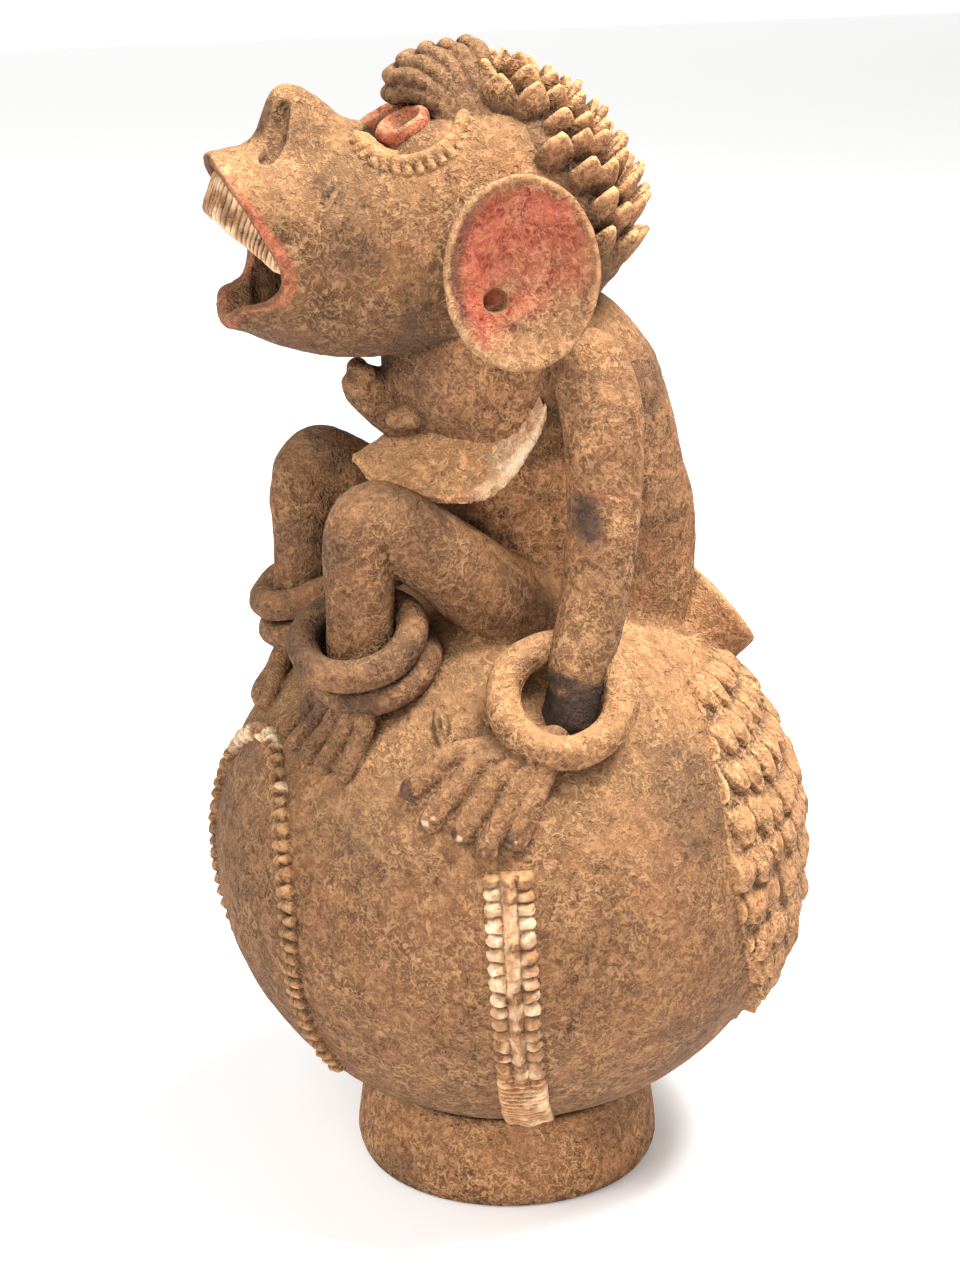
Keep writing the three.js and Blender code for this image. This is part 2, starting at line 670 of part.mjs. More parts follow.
// Arm: a plain tapering roll from the shoulder down to the wrist, which sinks into the jar
function armForm(s, grow = 0) {
  const wrist = onJar(90, 46, 4);
  const out = JAR_RADIUS / 2;
  return loft([
    [s * 68, 24, JAR_TOP + 136, ARM_RADIUS + 1, ARM_RADIUS + 3],
    [s * 78, 27, JAR_TOP + 106, ARM_RADIUS + 1, ARM_RADIUS + 1],
    [s * 86, 26, JAR_TOP + 68, ARM_RADIUS - 0.5, ARM_RADIUS - 0.5],
    [s * (out + 10.5), 21, JAR_TOP + 38, ARM_RADIUS - 1.5, ARM_RADIUS - 1.5],
    [s * (out + 18.5), 14, JAR_TOP + 8, WRIST_RADIUS + 1.5, WRIST_RADIUS + 1.5],
    [s * (out + 25.5), 5, JAR_TOP - 16, WRIST_RADIUS, WRIST_RADIUS],
    [s * wrist.x, wrist.y, wrist.z, WRIST_RADIUS - 5, WRIST_RADIUS - 4],
  ], { grow, sides: 10, steps: 1, tip: 0.9 });
}

// Fingers and toes fan out along the jar from one root, and lie half sunk in its surface
function fan(s, root, tips, radius, grow) {
  const start = onJar(s * root.azimuth, root.latitude, root.lift);
  return join(tips.map(([azimuth, latitude]) => {
    const tip = onJar(s * azimuth, latitude, 1);
    const middle = onJar(
      s * THREE.MathUtils.lerp(root.azimuth, azimuth, 0.55),
      THREE.MathUtils.lerp(root.latitude, latitude, 0.55),
      root.lift * 0.6,
    );
    return loft([
      [start.x, start.y, start.z, radius * 1.35, radius * 1.35],
      [middle.x, middle.y, middle.z, radius * 1.1, radius * 1.1],
      [tip.x, tip.y, tip.z, radius, radius * 0.9],
    ], { sides: 5, steps: 1, side: BACKWARDS, grow });
  }));
}

function handForm(s, grow = 0) {
  const tips = [[53, 32], [58, 27], [63.5, 24], [69, 22.5], [74.5, 23]];
  return fan(s, { azimuth: 84, latitude: 40, lift: 4 }, tips, FINGER_RADIUS, grow);
}

function footForm(s, grow = 0) {
  const tips = [[10, 37], [16.5, 35], [23.5, 33], [30, 32.2], [36.5, 33]];
  return fan(s, { azimuth: 29, latitude: 46, lift: 7 }, tips, TOE_RADIUS, grow);
}

// The right leg is set a little further forward and higher than the left one
function legOffset(s) {
  const lead = s < 0 ? RIGHT_LEG_LEAD : 0;
  return new THREE.Vector3(0, -lead, lead * 0.7);
}

// Leg: the thigh rises from the hip to a round knee, and the shin drops straight to the foot
function legForm(s, grow = 0) {
  const x = s * LEG_SPREAD;
  const y = ANKLE_Y;
  const shift = legOffset(s);
  const move = ([px, py, pz, a, b]) => [px, py + shift.y, pz + shift.z, a, b];
  const thigh = loft([
    [s * (LEG_SPREAD - 8), -12, JAR_TOP + 3, KNEE_RADIUS, KNEE_RADIUS + 3],
    [x, y + 53, JAR_TOP + 26, KNEE_RADIUS, KNEE_RADIUS + 2],
    [x, y + 25, JAR_TOP + 49, KNEE_RADIUS, KNEE_RADIUS],
    [x, y + 8, JAR_TOP + 57, KNEE_RADIUS - 1, KNEE_RADIUS - 1],
  ].map(move), { grow, tip: 0.8, sides: 10, steps: 1 });
  const shin = loft([
    [x, y + 8, JAR_TOP + 60, KNEE_RADIUS - 1, KNEE_RADIUS - 1],
    [x, y + 3, JAR_TOP + 30, ANKLE_RADIUS + 1.5, ANKLE_RADIUS + 1.5],
    [x, y + 2, JAR_TOP - 8, ANKLE_RADIUS, ANKLE_RADIUS],
    [x, y, JAR_TOP - 62, ANKLE_RADIUS, ANKLE_RADIUS],
  ].map(move), { grow, tip: 0.8, sides: 10, steps: 1 });
  return thigh.add(shin);
}

const chest = chestForm(SEAM);

function clayRing(radius, tube, at, axis) {
  return toSolid(placed(new THREE.TorusGeometry(radius, tube, RING_SIDES, 18), at, axis));
}

function wristRing(s) {
  const axis = new THREE.Vector3(s * 0.73, -0.13, 0.67);
  const ring = clayRing(WRIST_RING_RADIUS, WRIST_RING_TUBE, onJar(s * 87, 49, 12), axis);
  return cut(ring, jar, armForm(s, SEAM), handForm(s, SEAM));
}

// Two clay rings are stacked on each ankle, and both pairs lean a little to the left
function ankleRing(s, upper) {
  const axis = new THREE.Vector3(s * 0.2 + 0.14, -0.32, 0.88).normalize();
  const upperAt = new THREE.Vector3(s * (LEG_SPREAD + 1), ANKLE_Y, JAR_TOP - 7);
  const cutters = [jar, legForm(s, SEAM), footForm(s, SEAM)];
  if (upper) return cut(clayRing(ANKLE_RING_RADIUS, ANKLE_RING_TUBE, upperAt, axis), ...cutters);
  const lowerAt = upperAt.clone()
    .addScaledVector(axis, -ANKLE_RING_TUBE - LOWER_RING_TUBE)
    .add(new THREE.Vector3(s * 3, 4, 0));
  cutters.push(clayRing(ANKLE_RING_RADIUS, ANKLE_RING_TUBE + SEAM, upperAt, axis));
  return cut(clayRing(ANKLE_RING_RADIUS, LOWER_RING_TUBE, lowerAt, axis), ...cutters);
}

// A closed slab over a grid of points: outer and inner skins joined round their edge
function slab(columns, rows, pointAt) {
  const points = [];
  const index = [];
  const layerSize = (columns + 1) * (rows + 1);
  for (const outer of [true, false]) {
    for (let j = 0; j <= rows; j += 1) {
      for (let i = 0; i <= columns; i += 1) points.push(pointAt(i, j, outer));
    }
  }
  const quad = (a, b, c, d) => index.push(a, b, c, a, c, d);
  const at = (i, j) => j * (columns + 1) + i;
  for (let j = 0; j < rows; j += 1) {
    for (let i = 0; i < columns; i += 1) {
      const corners = [at(i, j), at(i + 1, j), at(i + 1, j + 1), at(i, j + 1)];
      quad(...corners);
      quad(...corners.reverse().map((k) => k + layerSize));
    }
  }
  const edge = [];
  for (let i = 0; i < columns; i += 1) edge.push(at(i, 0));
  for (let j = 0; j < rows; j += 1) edge.push(at(columns, j));
  for (let i = columns; i > 0; i -= 1) edge.push(at(i, rows));
  for (let j = rows; j > 0; j -= 1) edge.push(at(0, j));
  edge.forEach((a, k) => {
    const b = edge[(k + 1) % edge.length];
    quad(b, a, a + layerSize, b + layerSize);
  });
  const geometry = new THREE.BufferGeometry().setFromPoints(points);
  geometry.setIndex(index);
  return toSolid(geometry);
}

function degreesOnJar(length) {
  return THREE.MathUtils.radToDeg(length / JAR_RADIUS);
}

// Rolls of clay laid side by side along a path on the jar and pinched at every notch
// The path's points are [azimuth, latitude]
function notchedFillet(points, width, relief, rolls) {
  const path = new THREE.CatmullRomCurve3(points.map(([a, l]) => new THREE.Vector3(a, l, 0)));
  const rows = 2 * Math.round(path.getLength() / degreesOnJar(STRIP_NOTCH));
  const columns = 2 * rolls;
  const pointAt = (i, j, outer) => {
    const { x: azimuth, y: latitude } = path.getPointAt(j / rows);
    const stretch = Math.cos(radians(latitude));
    const along = path.getTangentAt(j / rows);
    along.x *= stretch;
    along.normalize();
    const swell = j % 2 ? 1 : 0.85;
    const across = degreesOnJar(width / 2) * swell * ((2 * i) / columns - 1);
    const crown = i % 2 ? relief * (j % 2 ? 1 : 0.62) : relief * 0.35;
    const onEdge = i === 0 || i === columns || j === 0 || j === rows;
    const lift = onEdge ? 1 : crown;
    return onJar(
      azimuth - (along.y * across) / stretch,
      latitude + along.x * across,
      outer ? lift : -3,
    );
  };
  return cut(slab(columns, rows, pointAt), jar);
}

// The loop on the front: an arch of notched fillet, a little to the left of the middle
function frontLoop() {
  return notchedFillet([
    [27, -40], [27.5, -20], [28.5, 0], [25, 14], [17, 27], [5, 32],
    [-8, 27], [-15, 14], [-18, 0], [-18, -20], [-18, -38],
  ], LOOP_WIDTH, LOOP_RELIEF, 1);
}

// A strip down each side: two notched rolls side by side, from under the hand to the stand
// The stand lifts off, so a strip that would reach it stops short of it
function sideStrip(s) {
  const points = [[73, 18], [74, 0], [75.5, -24], [78, -45], [81, -56]];
  const strip = notchedFillet(points.map(([a, l]) => [s * a, l]), STRIP_WIDTH, STRIP_RELIEF, 2);
  return cut(strip, standRoom());
}

// The back band: rows of overlapping scales pressed onto the jar, each fullest near its lower edge
function scaleBand() {
  const top = 47;
  const bottom = -43;
  const bandReach = 60;
  const rows = 2 * Math.round((top - bottom) / degreesOnJar(SCALE_HEIGHT));
  const columns = 2 * Math.round((2 * bandReach) / degreesOnJar(SCALE_WIDTH));
  const pointAt = (i, j, outer) => {
    const peakRow = j % 2 === 1;
    const down = (peakRow ? j + 0.35 : j) / rows;
    const latitude = THREE.MathUtils.lerp(top, bottom, down);
    const reach = bandReach - 0.014 * (latitude - 10) ** 2;
    const azimuth = 180 + reach * ((2 * i) / columns - 1);
    const peak = peakRow && (i + (j - 1) / 2) % 2 === 1;
    const onEdge = i === 0 || i === columns || j === 0 || j === rows;
    const extra = SCALE_LOW_EXTRA * THREE.MathUtils.clamp(-latitude / 25, 0, 1);
    const rise = onEdge ? 0.5 : 3 + extra;
    return onJar(azimuth, latitude, outer ? (peak ? SCALE_RELIEF + extra : rise) : -4);
  };
  const spout = spoutCore(SPOUT_RADIUS + SEAM, -2 * SPOUT_ROOT, 2 * SPOUT_ROOT);
  return cut(slab(columns, rows, pointAt), jar, spout, torso);
}

function leafPatch(s) {
  const at = onJar(s * 54.5, 46, 0);
  const end = onJar(s * 56, 41, 0);
  return cut(loft([
    [at.x, at.y, at.z, 4, 3],
    [(at.x + end.x) / 2, (at.y + end.y) / 2, (at.z + end.z) / 2, 7, 4],
    [end.x, end.y, end.z, 4, 3],
  ], { sides: 8, steps: 1 }), jar);
}

const vessel = new THREE.Group();
vessel.name = 'monkey_effigy_vessel';

// Each piece keeps its own local origin at its middle and is placed from there
function addPiece(name, solid, look, parent = vessel) {
  const geometry = toGeometry(solid);
  geometry.computeBoundingBox();
  const middle = geometry.boundingBox.getCenter(new THREE.Vector3());
  geometry.translate(-middle.x, -middle.y, -middle.z);
  const mesh = new THREE.Mesh(geometry, new THREE.MeshStandardMaterial(look));
  mesh.name = name;
  mesh.position.copy(middle);
  parent.add(mesh);
}

const figure = new THREE.Group();
vessel.add(figure);

addPiece('ring_stand', ringStand(), darkClay);
addPiece('jar_lower_bowl', jarShell(-90, 0), clay);
addPiece('jar_upper_dome', jarUpperDome(), clay);
addPiece('spout_collar', spoutCollar(), clay);
addPiece('front_loop', frontLoop(), paleClay);
addPiece('back_scale_band', scaleBand(), clay);

const spoutSeat = spoutCore(SPOUT_RADIUS + SEAM, -SPOUT_ROOT, SPOUT_LENGTH + SEAM);
addPiece('torso', cut(torsoForm(), jar, torsoHollow(), spoutSeat), clay, figure);
addPiece('chest', cut(chestForm(), torso), paleClay, figure);
const throat = throatForm(SEAM);
addPiece('throat', cut(throatForm(), torso, chest, head), darkClay, figure);
addPiece('throat_lug', cut(throatLug(), torso, throat, chest, head), darkClay, figure);
const sockets = SIDES.map(([, s]) => eyeSocket(s));
addPiece('head', cut(headForm(), mouthNotch(), mouthCavity(), torso, ...sockets), clay, figure);
addPiece('teeth_plate', cut(teethPlate(), cut(headForm(SEAM), mouthCavity())), whitePaint, figure);
addPiece('nose', cut(noseForm(), head), clay, figure);
addPiece('hair_cap', hairCap(), clay, figure);
const eyeSeats = SIDES.map(([, s]) => eyeForm(s, SEAM));
addPiece('crest_locks', cut(crestLocks(), head, ...eyeSeats), paleClay, figure);
const crest = crestLocks(SEAM);

for (const [name, s] of SIDES) {
  addPiece(`side_strip_${name}`, sideStrip(s), whitePaint);
  addPiece(`leaf_patch_${name}`, leafPatch(s), clay);
  addPiece(`eye_${name}`, cut(eyeForm(s), cut(head, eyeSocket(s))), redOchre, figure);
  addPiece(`lashes_${name}`, cut(lashRidge(s), head, crest, ...eyeSeats), paleClay, figure);
  addPiece(`ear_${name}`, cut(earForm(s), head), redOchre, figure);
  addPiece(`arm_${name}`, cut(armForm(s), jar, torso, chest), clay, figure);
  addPiece(`hand_${name}`, cut(handForm(s), jar, armForm(s, SEAM)), clay, figure);
  addPiece(`leg_${name}`, cut(legForm(s), jar, torso, chest), clay, figure);
  addPiece(`foot_${name}`, cut(footForm(s), jar, legForm(s, SEAM)), clay, figure);
  addPiece(`wrist_ring_${name}`, wristRing(s), paleClay, figure);
  addPiece(`ankle_ring_upper_${name}`, ankleRing(s, true), clay, figure);
  addPiece(`ankle_ring_lower_${name}`, ankleRing(s, false), clay, figure);
}

export default vessel;
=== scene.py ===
"""Looks of the monkey effigy vessel: soft clay forms pressed together, pigments, wear and the studio."""

import itertools
import math

import bpy
import numpy as np
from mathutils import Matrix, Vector


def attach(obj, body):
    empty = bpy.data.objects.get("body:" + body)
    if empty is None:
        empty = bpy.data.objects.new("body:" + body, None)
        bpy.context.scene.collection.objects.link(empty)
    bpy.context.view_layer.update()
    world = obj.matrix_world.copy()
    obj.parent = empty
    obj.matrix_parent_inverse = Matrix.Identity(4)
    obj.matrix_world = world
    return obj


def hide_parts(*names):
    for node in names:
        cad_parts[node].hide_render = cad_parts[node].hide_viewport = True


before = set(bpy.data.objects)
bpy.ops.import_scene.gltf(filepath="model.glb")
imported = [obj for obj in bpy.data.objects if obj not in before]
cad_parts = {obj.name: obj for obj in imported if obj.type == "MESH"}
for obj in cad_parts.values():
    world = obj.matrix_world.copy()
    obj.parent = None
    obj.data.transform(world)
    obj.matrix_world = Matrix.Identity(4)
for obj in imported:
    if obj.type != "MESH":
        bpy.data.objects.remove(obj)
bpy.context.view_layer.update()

# Everything below is in millimetres until a mesh is made
MM = 0.001
SIDES = (("left", 1), ("right", -1))

# Jar and stand
JAR_RADIUS = 165.0
JAR_HALF_HEIGHT = 155.0
STAND_RIM_RADIUS = 75.5
STAND_RIM_HEIGHT = 51.5
BOWL_DEPTH = JAR_HALF_HEIGHT * math.sqrt(1 - (STAND_RIM_RADIUS / JAR_RADIUS) ** 2)
JAR_CENTRE_Z = 0.6 + STAND_RIM_HEIGHT + BOWL_DEPTH
JAR_TOP = JAR_CENTRE_Z + JAR_HALF_HEIGHT
JAR_WALL = 9.0
HEAD_Z = JAR_TOP + 197

# Depth of the empty space in a block of clay
FAR = 40.0


# Noise and small helpers

def lattice(ix, iy, iz, seed):
    """A fixed random number from -1 to 1 for every whole-number point."""
    h = (ix * 73856093) ^ (iy * 19349663) ^ (iz * 83492791) ^ (seed * 2654435761)
    h &= 0xFFFFFFFF
    h = ((h >> 13) ^ h) & 0xFFFFFFFF
    h = (h * ((h * h * 15731 & 0xFFFFFFFF) + 789221) + 1376312589) & 0x7FFFFFFF
    return h / 1073741824.0 - 1.0


def lumps(points, size, seed=1):
    """Smooth random values from -1 to 1 at points, with lumps of about the given size."""
    q = np.asarray(points, np.float64) / size
    cell = np.floor(q).astype(np.int64)
    f = q - cell
    f = f * f * (3 - 2 * f)
    total = 0
    for corner in itertools.product((0, 1), repeat=3):
        weight = 1
        for k in range(3):
            weight = weight * (f[:, k] if corner[k] else 1 - f[:, k])
        total = total + weight * lattice(*(cell[:, k] + corner[k] for k in range(3)), seed)
    return total


def fine(full):
    return full


def ramp(low, high, value):
    """Rises smoothly from 0 at low to 1 at high."""
    t = np.clip((value - low) / (high - low), 0, 1)
    return t * t * (3 - 2 * t)


def spots(points, size, seed, low, high):
    """Soft patches from 0 to 1, where the lumps rise from low to high."""
    return ramp(low, high, lumps(points, size, seed))


def soft_min(a, b, soft):
    """The lower of two depths, rounded off where they are nearly equal."""
    if soft <= 0:
        return np.minimum(a, b)
    h = np.clip(soft - np.abs(a - b), 0, None) / soft
    return np.minimum(a, b) - h * h * soft / 4


def through(rows, per_span=6):
    """Points of a smooth curve through the given rows; extra columns such as radius are smoothed too."""
    rows = np.array(rows, float)
    wide = np.vstack([2 * rows[0] - rows[1], rows, 2 * rows[-1] - rows[-2]])
    out = []
    for a, b, c, d in zip(wide, wide[1:], wide[2:], wide[3:]):
        for t in np.arange(per_span) / per_span:
            out.append(0.5 * (2 * b + (c - a) * t + (2 * a - 5 * b + 4 * c - d) * t**2
                              + (3 * b - a - 3 * c + d) * t**3))
    out.append(rows[-1])
    return np.array(out)


def raised(base, rows, column=2):
    """The rows with a base height added to their z."""
    rows = np.array(rows, float)
    rows[:, column] += base
    return rows


def lengths(rows):
    return np.linalg.norm(rows, axis=1)


def unit(v):
    v = np.array(v, float)
    return v / np.linalg.norm(v)


def on_jar(azimuth, latitude, lift=0.0):
    """A point on the jar; azimuth 0 is the front and 90 the monkey's left side."""
    a, l = np.radians(azimuth), np.radians(latitude)
    n = jar_normal(azimuth, latitude)
    return np.array([
        JAR_RADIUS * np.cos(l) * np.sin(a) + n[0] * lift,
        -JAR_RADIUS * np.cos(l) * np.cos(a) + n[1] * lift,
        JAR_CENTRE_Z + JAR_HALF_HEIGHT * np.sin(l) + n[2] * lift,
    ])


def jar_normal(azimuth, latitude):
    a, l = np.radians(azimuth), np.radians(latitude)
    n = np.array([
        np.cos(l) * np.sin(a) / JAR_RADIUS,
        -np.cos(l) * np.cos(a) / JAR_RADIUS,
        np.sin(l) / JAR_HALF_HEIGHT,
    ])
    return n / np.sqrt((n * n).sum(0))


# Forms: each is (lowest corner, highest corner, depth function); depth is below 0 inside

def chain(rows, per_span=5):
    """A roll of clay along a curve; each row is [x, y, z, radius]."""
    rows = through(rows, per_span)
    reach = rows[:, 3].max()

    def depth(x, y, z):
        best = None
        for a, b in zip(rows, rows[1:]):
            ab = b[:3] - a[:3]
            t = ((x - a[0]) * ab[0] + (y - a[1]) * ab[1] + (z - a[2]) * ab[2]) / max(ab @ ab, 1e-9)
            t = np.clip(t, 0, 1)
            off = [p - a[k] - t * ab[k] for k, p in enumerate((x, y, z))]
            d = np.sqrt(off[0] ** 2 + off[1] ** 2 + off[2] ** 2) - (a[3] + t * (b[3] - a[3]))
            best = d if best is None else np.minimum(best, d)
        return best

    return rows[:, :3].min(0) - reach, rows[:, :3].max(0) + reach, depth


def frame_of(axis, hint=(0, 0, 1)):
    """Three directions at right angles: across, over and along the axis."""
    w = unit(axis)
    u = np.cross(hint, w)
    if np.linalg.norm(u) < 1e-6:
        u = np.cross((1, 0, 0), w)
    u = unit(u)
    return u, np.cross(w, u), w


def local_form(at, axes, reach, depth_local):
    """A form whose depth is given in its own directions around the point at."""
    at = np.array(at, float)
    u, v, w = axes

    def depth(x, y, z):
        x, y, z = x - at[0], y - at[1], z - at[2]
        return depth_local(*(x * a[0] + y * a[1] + z * a[2] for a in (u, v, w)))

    return at - reach, at + reach, depth


def blob(at, radii, axis=(0, 0, 1), hint=(0, 1, 0)):
    """An egg shape with its own three radii, the last one along the axis."""
    r = np.array(radii, float)
    return local_form(at, frame_of(axis, hint), r.max(), lambda u, v, w: (
        np.sqrt((u / r[0]) ** 2 + (v / r[1]) ** 2 + (w / r[2]) ** 2) - 1) * r.min())


def ring(at, radius, tube, axis, wobble, seed):
    """A clay ring, a little uneven round its length."""
    def depth(u, v, w):
        turn = np.arctan2(v, u)
        uneven = wobble * (np.sin(2 * turn + seed) + 0.6 * np.sin(5 * turn + 2 * seed))
        out = np.sqrt(u * u + v * v) - radius - uneven
        return np.sqrt(out**2 + (w - uneven * 0.6) ** 2) - tube - 0.4 * uneven

    return local_form(at, frame_of(axis), radius + tube + 3, depth)


def sections(stations, facing=(0, 0, 1), power=2.0):
    """A body through flat sections; each station is [y, z, half width, half depth], mirrored in x."""
    f = unit(facing)
    g = np.array([0, f[2], -f[1]])
    rows = through(stations, 12)
    s = rows[:, 0] * f[1] + rows[:, 1] * f[2]
    t = rows[:, 0] * g[1] + rows[:, 1] * g[2]
    order = np.argsort(s)
    s, t, wide, deep = s[order], t[order], rows[order, 2], rows[order, 3]
    small = min(wide.max(), deep.max())

    def depth(x, y, z):
        along = y * f[1] + z * f[2]
        a = np.maximum(np.interp(along, s, wide), 0.4)
        b = np.maximum(np.interp(along, s, deep), 0.4)
        across = y * g[1] + z * g[2] - np.interp(along, s, t)
        q = (np.abs(x / a) ** power + np.abs(across / b) ** power) ** (1 / power)
        d = (q - 1) * np.minimum(np.minimum(a, b), small)
        return np.maximum(d, np.maximum(s[0] - along, along - s[-1]))

    reach = max(wide.max(), deep.max())
    lo = np.array([-wide.max(), rows[:, 0].min() - reach, rows[:, 1].min() - reach])
    hi = np.array([wide.max(), rows[:, 0].max() + reach, rows[:, 1].max() + reach])
    return lo, hi, depth


def jar_depth(x, y, z):
    q = np.sqrt((x * x + y * y) / JAR_RADIUS**2 + (z - JAR_CENTRE_Z) ** 2 / JAR_HALF_HEIGHT**2)
    return (q - 1) * (JAR_RADIUS + JAR_HALF_HEIGHT) / 2


class Clay:
    """A block of space, cut into cells, in which forms are pressed together and a skin is drawn."""

    def __init__(self, lo, hi, cell):
        self.cell = cell
        self.lo = np.array(lo, float)
        self.axes = [np.arange(a, b + cell, cell, dtype=np.float32) for a, b in zip(lo, hi)]
        self.depth = np.full([len(a) for a in self.axes], FAR, np.float32)

    def window(self, form, margin):
        lo, hi, depth = form
        cut = tuple(
            slice(int(np.searchsorted(a, l - margin)), int(np.searchsorted(a, h + margin)))
            for a, l, h in zip(self.axes, lo, hi)
        )
        x, y, z = (a[c] for a, c in zip(self.axes, cut))
        if not (len(x) and len(y) and len(z)):
            return None, None
        return cut, depth(x[:, None, None], y[None, :, None], z[None, None, :]).astype(np.float32)

    def add(self, form, soft=2.0):
        cut, d = self.window(form, soft + 8)
        if cut:
            self.depth[cut] = soft_min(self.depth[cut], d, soft)

    def carve(self, form, soft=1.5):
        cut, d = self.window(form, soft + 4)
        if cut:
            self.depth[cut] = -soft_min(-self.depth[cut], d, soft)

    def rest_on(self, ground, sink, soft, reach):
        """Draws the clay out into a fillet where it meets the ground, which is a depth function."""
        x, y, z = self.axes
        g = ground(x[:, None, None], y[None, :, None], z[None, None, :]).astype(np.float32) + sink
        near = self.depth - reach
        blended = soft_min(self.depth, g, soft)
        self.depth = np.maximum(blended, np.minimum(near, FAR)).astype(np.float32)

    def sample(self, points):
        """Depth at points, to the nearest cell."""
        at = np.rint((points - self.lo) / self.cell).astype(int)
        at = np.clip(at, 0, np.array(self.depth.shape) - 1)
        return self.depth[at[:, 0], at[:, 1], at[:, 2]]

    def skin(self):
        """Vertices and four-cornered faces of the surface where depth is 0."""
        d = self.depth
        d[[0, -1]] = FAR
        d[:, [0, -1]] = FAR
        d[:, :, [0, -1]] = FAR
        inside = d < 0
        halves = (slice(None, -1), slice(1, None))
        count = sum(inside[cut].astype(np.int8) for cut in itertools.product(halves, repeat=3))
        active = (count > 0) & (count < 8)
        cells = np.argwhere(active)
        index = np.full(active.shape, -1, np.int32)
        index[active] = np.arange(len(cells), dtype=np.int32)
        place = np.zeros((len(cells), 3))
        hits = np.zeros(len(cells))
        for axis in range(3):
            step = np.eye(3, dtype=int)[axis]
            others = [k for k in range(3) if k != axis]
            for a, b in itertools.product((0, 1), repeat=2):
                start = np.zeros(3, int)
                start[others[0]], start[others[1]] = a, b
                first = d[tuple((cells + start).T)]
                second = d[tuple((cells + start + step).T)]
                crossed = (first < 0) != (second < 0)
                share = first[crossed] / (first[crossed] - second[crossed])
                place[crossed] += start + share[:, None] * step
                hits += crossed
        verts = (cells + place / hits[:, None]) * self.cell + self.lo
        faces = []
        for axis in range(3):
            one, two = [(1, 2), (2, 0), (0, 1)][axis]
            low = np.moveaxis(inside, (axis, one, two), (0, 1, 2))[:-1, 1:-1, 1:-1]
            high = np.moveaxis(inside, (axis, one, two), (0, 1, 2))[1:, 1:-1, 1:-1]
            edges = np.argwhere(low != high) + (0, 1, 1)
            at = np.empty_like(edges)
            at[:, axis], at[:, one], at[:, two] = edges[:, 0], edges[:, 1], edges[:, 2]
            e1, e2 = np.eye(3, dtype=int)[one], np.eye(3, dtype=int)[two]
            quad = np.stack([index[tuple((at - o).T)] for o in (e1 + e2, e2, 0 * e1, e1)], 1)
            turned = inside[tuple(at.T)]
            quad[~turned] = quad[~turned][:, ::-1]
            faces.append(quad)
        return verts, np.vstack(faces)


def vertex_normals(verts, faces):
    cross = np.cross(verts[faces[:, 2]] - verts[faces[:, 0]], verts[faces[:, 3]] - verts[faces[:, 1]])
    normals = np.stack([
        sum(np.bincount(faces[:, c], cross[:, k], len(verts)) for c in range(4)) for k in range(3)
    ], 1)
    return normals / np.maximum(lengths(normals), 1e-9)[:, None]


def relax(verts, faces, rounds):
    """Evens out the skin without shrinking it much."""
    pairs = np.vstack([faces[:, [0, 1]], faces[:, [1, 2]], faces[:, [2, 3]], faces[:, [3, 0]]])
    number = np.bincount(pairs.ravel(), minlength=len(verts))
    for k in range(rounds):
        mean = np.stack([
            np.bincount(pairs[:, 0], verts[pairs[:, 1], c], len(verts))
            + np.bincount(pairs[:, 1], verts[pairs[:, 0], c], len(verts)) for c in range(3)
        ], 1) / number[:, None]
        verts = verts + (0.5 if k % 2 == 0 else -0.45) * (mean - verts)
    return verts


def quads(index):
    """Four-cornered faces between neighbours in a grid of vertex numbers."""
    return np.stack([index[:-1, :-1], index[:-1, 1:], index[1:, 1:], index[1:, :-1]], -1).reshape(-1, 4)


def placed(name, data):
    """A new object in the scene."""
    piece = bpy.data.objects.new(name, data)
    bpy.context.scene.collection.objects.link(piece)
    return piece


def make_mesh(name, verts, faces, nodes, material, masks, body="vessel"):
    """A piece of the object; masks say where the material is red, white, sooty or pale, where painted
    shade lies in hollows, and where the soot and pale masks add painted shade and painted light.
    """
    mesh = bpy.data.meshes.new(name)
    mesh.vertices.add(len(verts))
    mesh.vertices.foreach_set("co", (np.asarray(verts) * MM).astype(np.float32).ravel())
    mesh.loops.add(faces.size)
    mesh.loops.foreach_set("vertex_index", faces.astype(np.int32).ravel())
    mesh.polygons.add(len(faces))
    mesh.polygons.foreach_set("loop_start", np.arange(0, faces.size, faces.shape[1], dtype=np.int32))
    mesh.update(calc_edges=True)
    mesh.polygons.foreach_set("use_smooth", np.ones(len(faces), bool))
    for key, values in masks.items():
        layer = mesh.attributes.new(key, "FLOAT", "POINT")
        layer.data.foreach_set("value", np.clip(values, 0, 1).astype(np.float32))
    mesh.materials.append(material)
    piece = placed(name, mesh)
    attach(piece, body)
    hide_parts(*nodes)


def sculpt(name, clay, nodes, material, rough, masks, sizes, rounds=4):
    """Draws the skin of a block of clay, gives it a hand-made unevenness and makes the piece."""
    verts, faces = clay.skin()
    verts = relax(verts, faces, rounds)
    normals = vertex_normals(verts, faces)
    swell = sum(weight * lumps(verts, size, seed) for seed, (size, weight) in
                enumerate(zip(sizes, (1.0, 0.7, 0.45))))
    # Painted shade: how closely the clay encloses each point, darkened later in the colour
    hollow = 1 - clay.sample(verts + normals * 6) / 6
    verts = verts + normals * (rough * swell)[:, None]
    make_mesh(name, verts, faces, nodes, material, {"hollow": hollow, **masks(verts, normals)})


# Materials

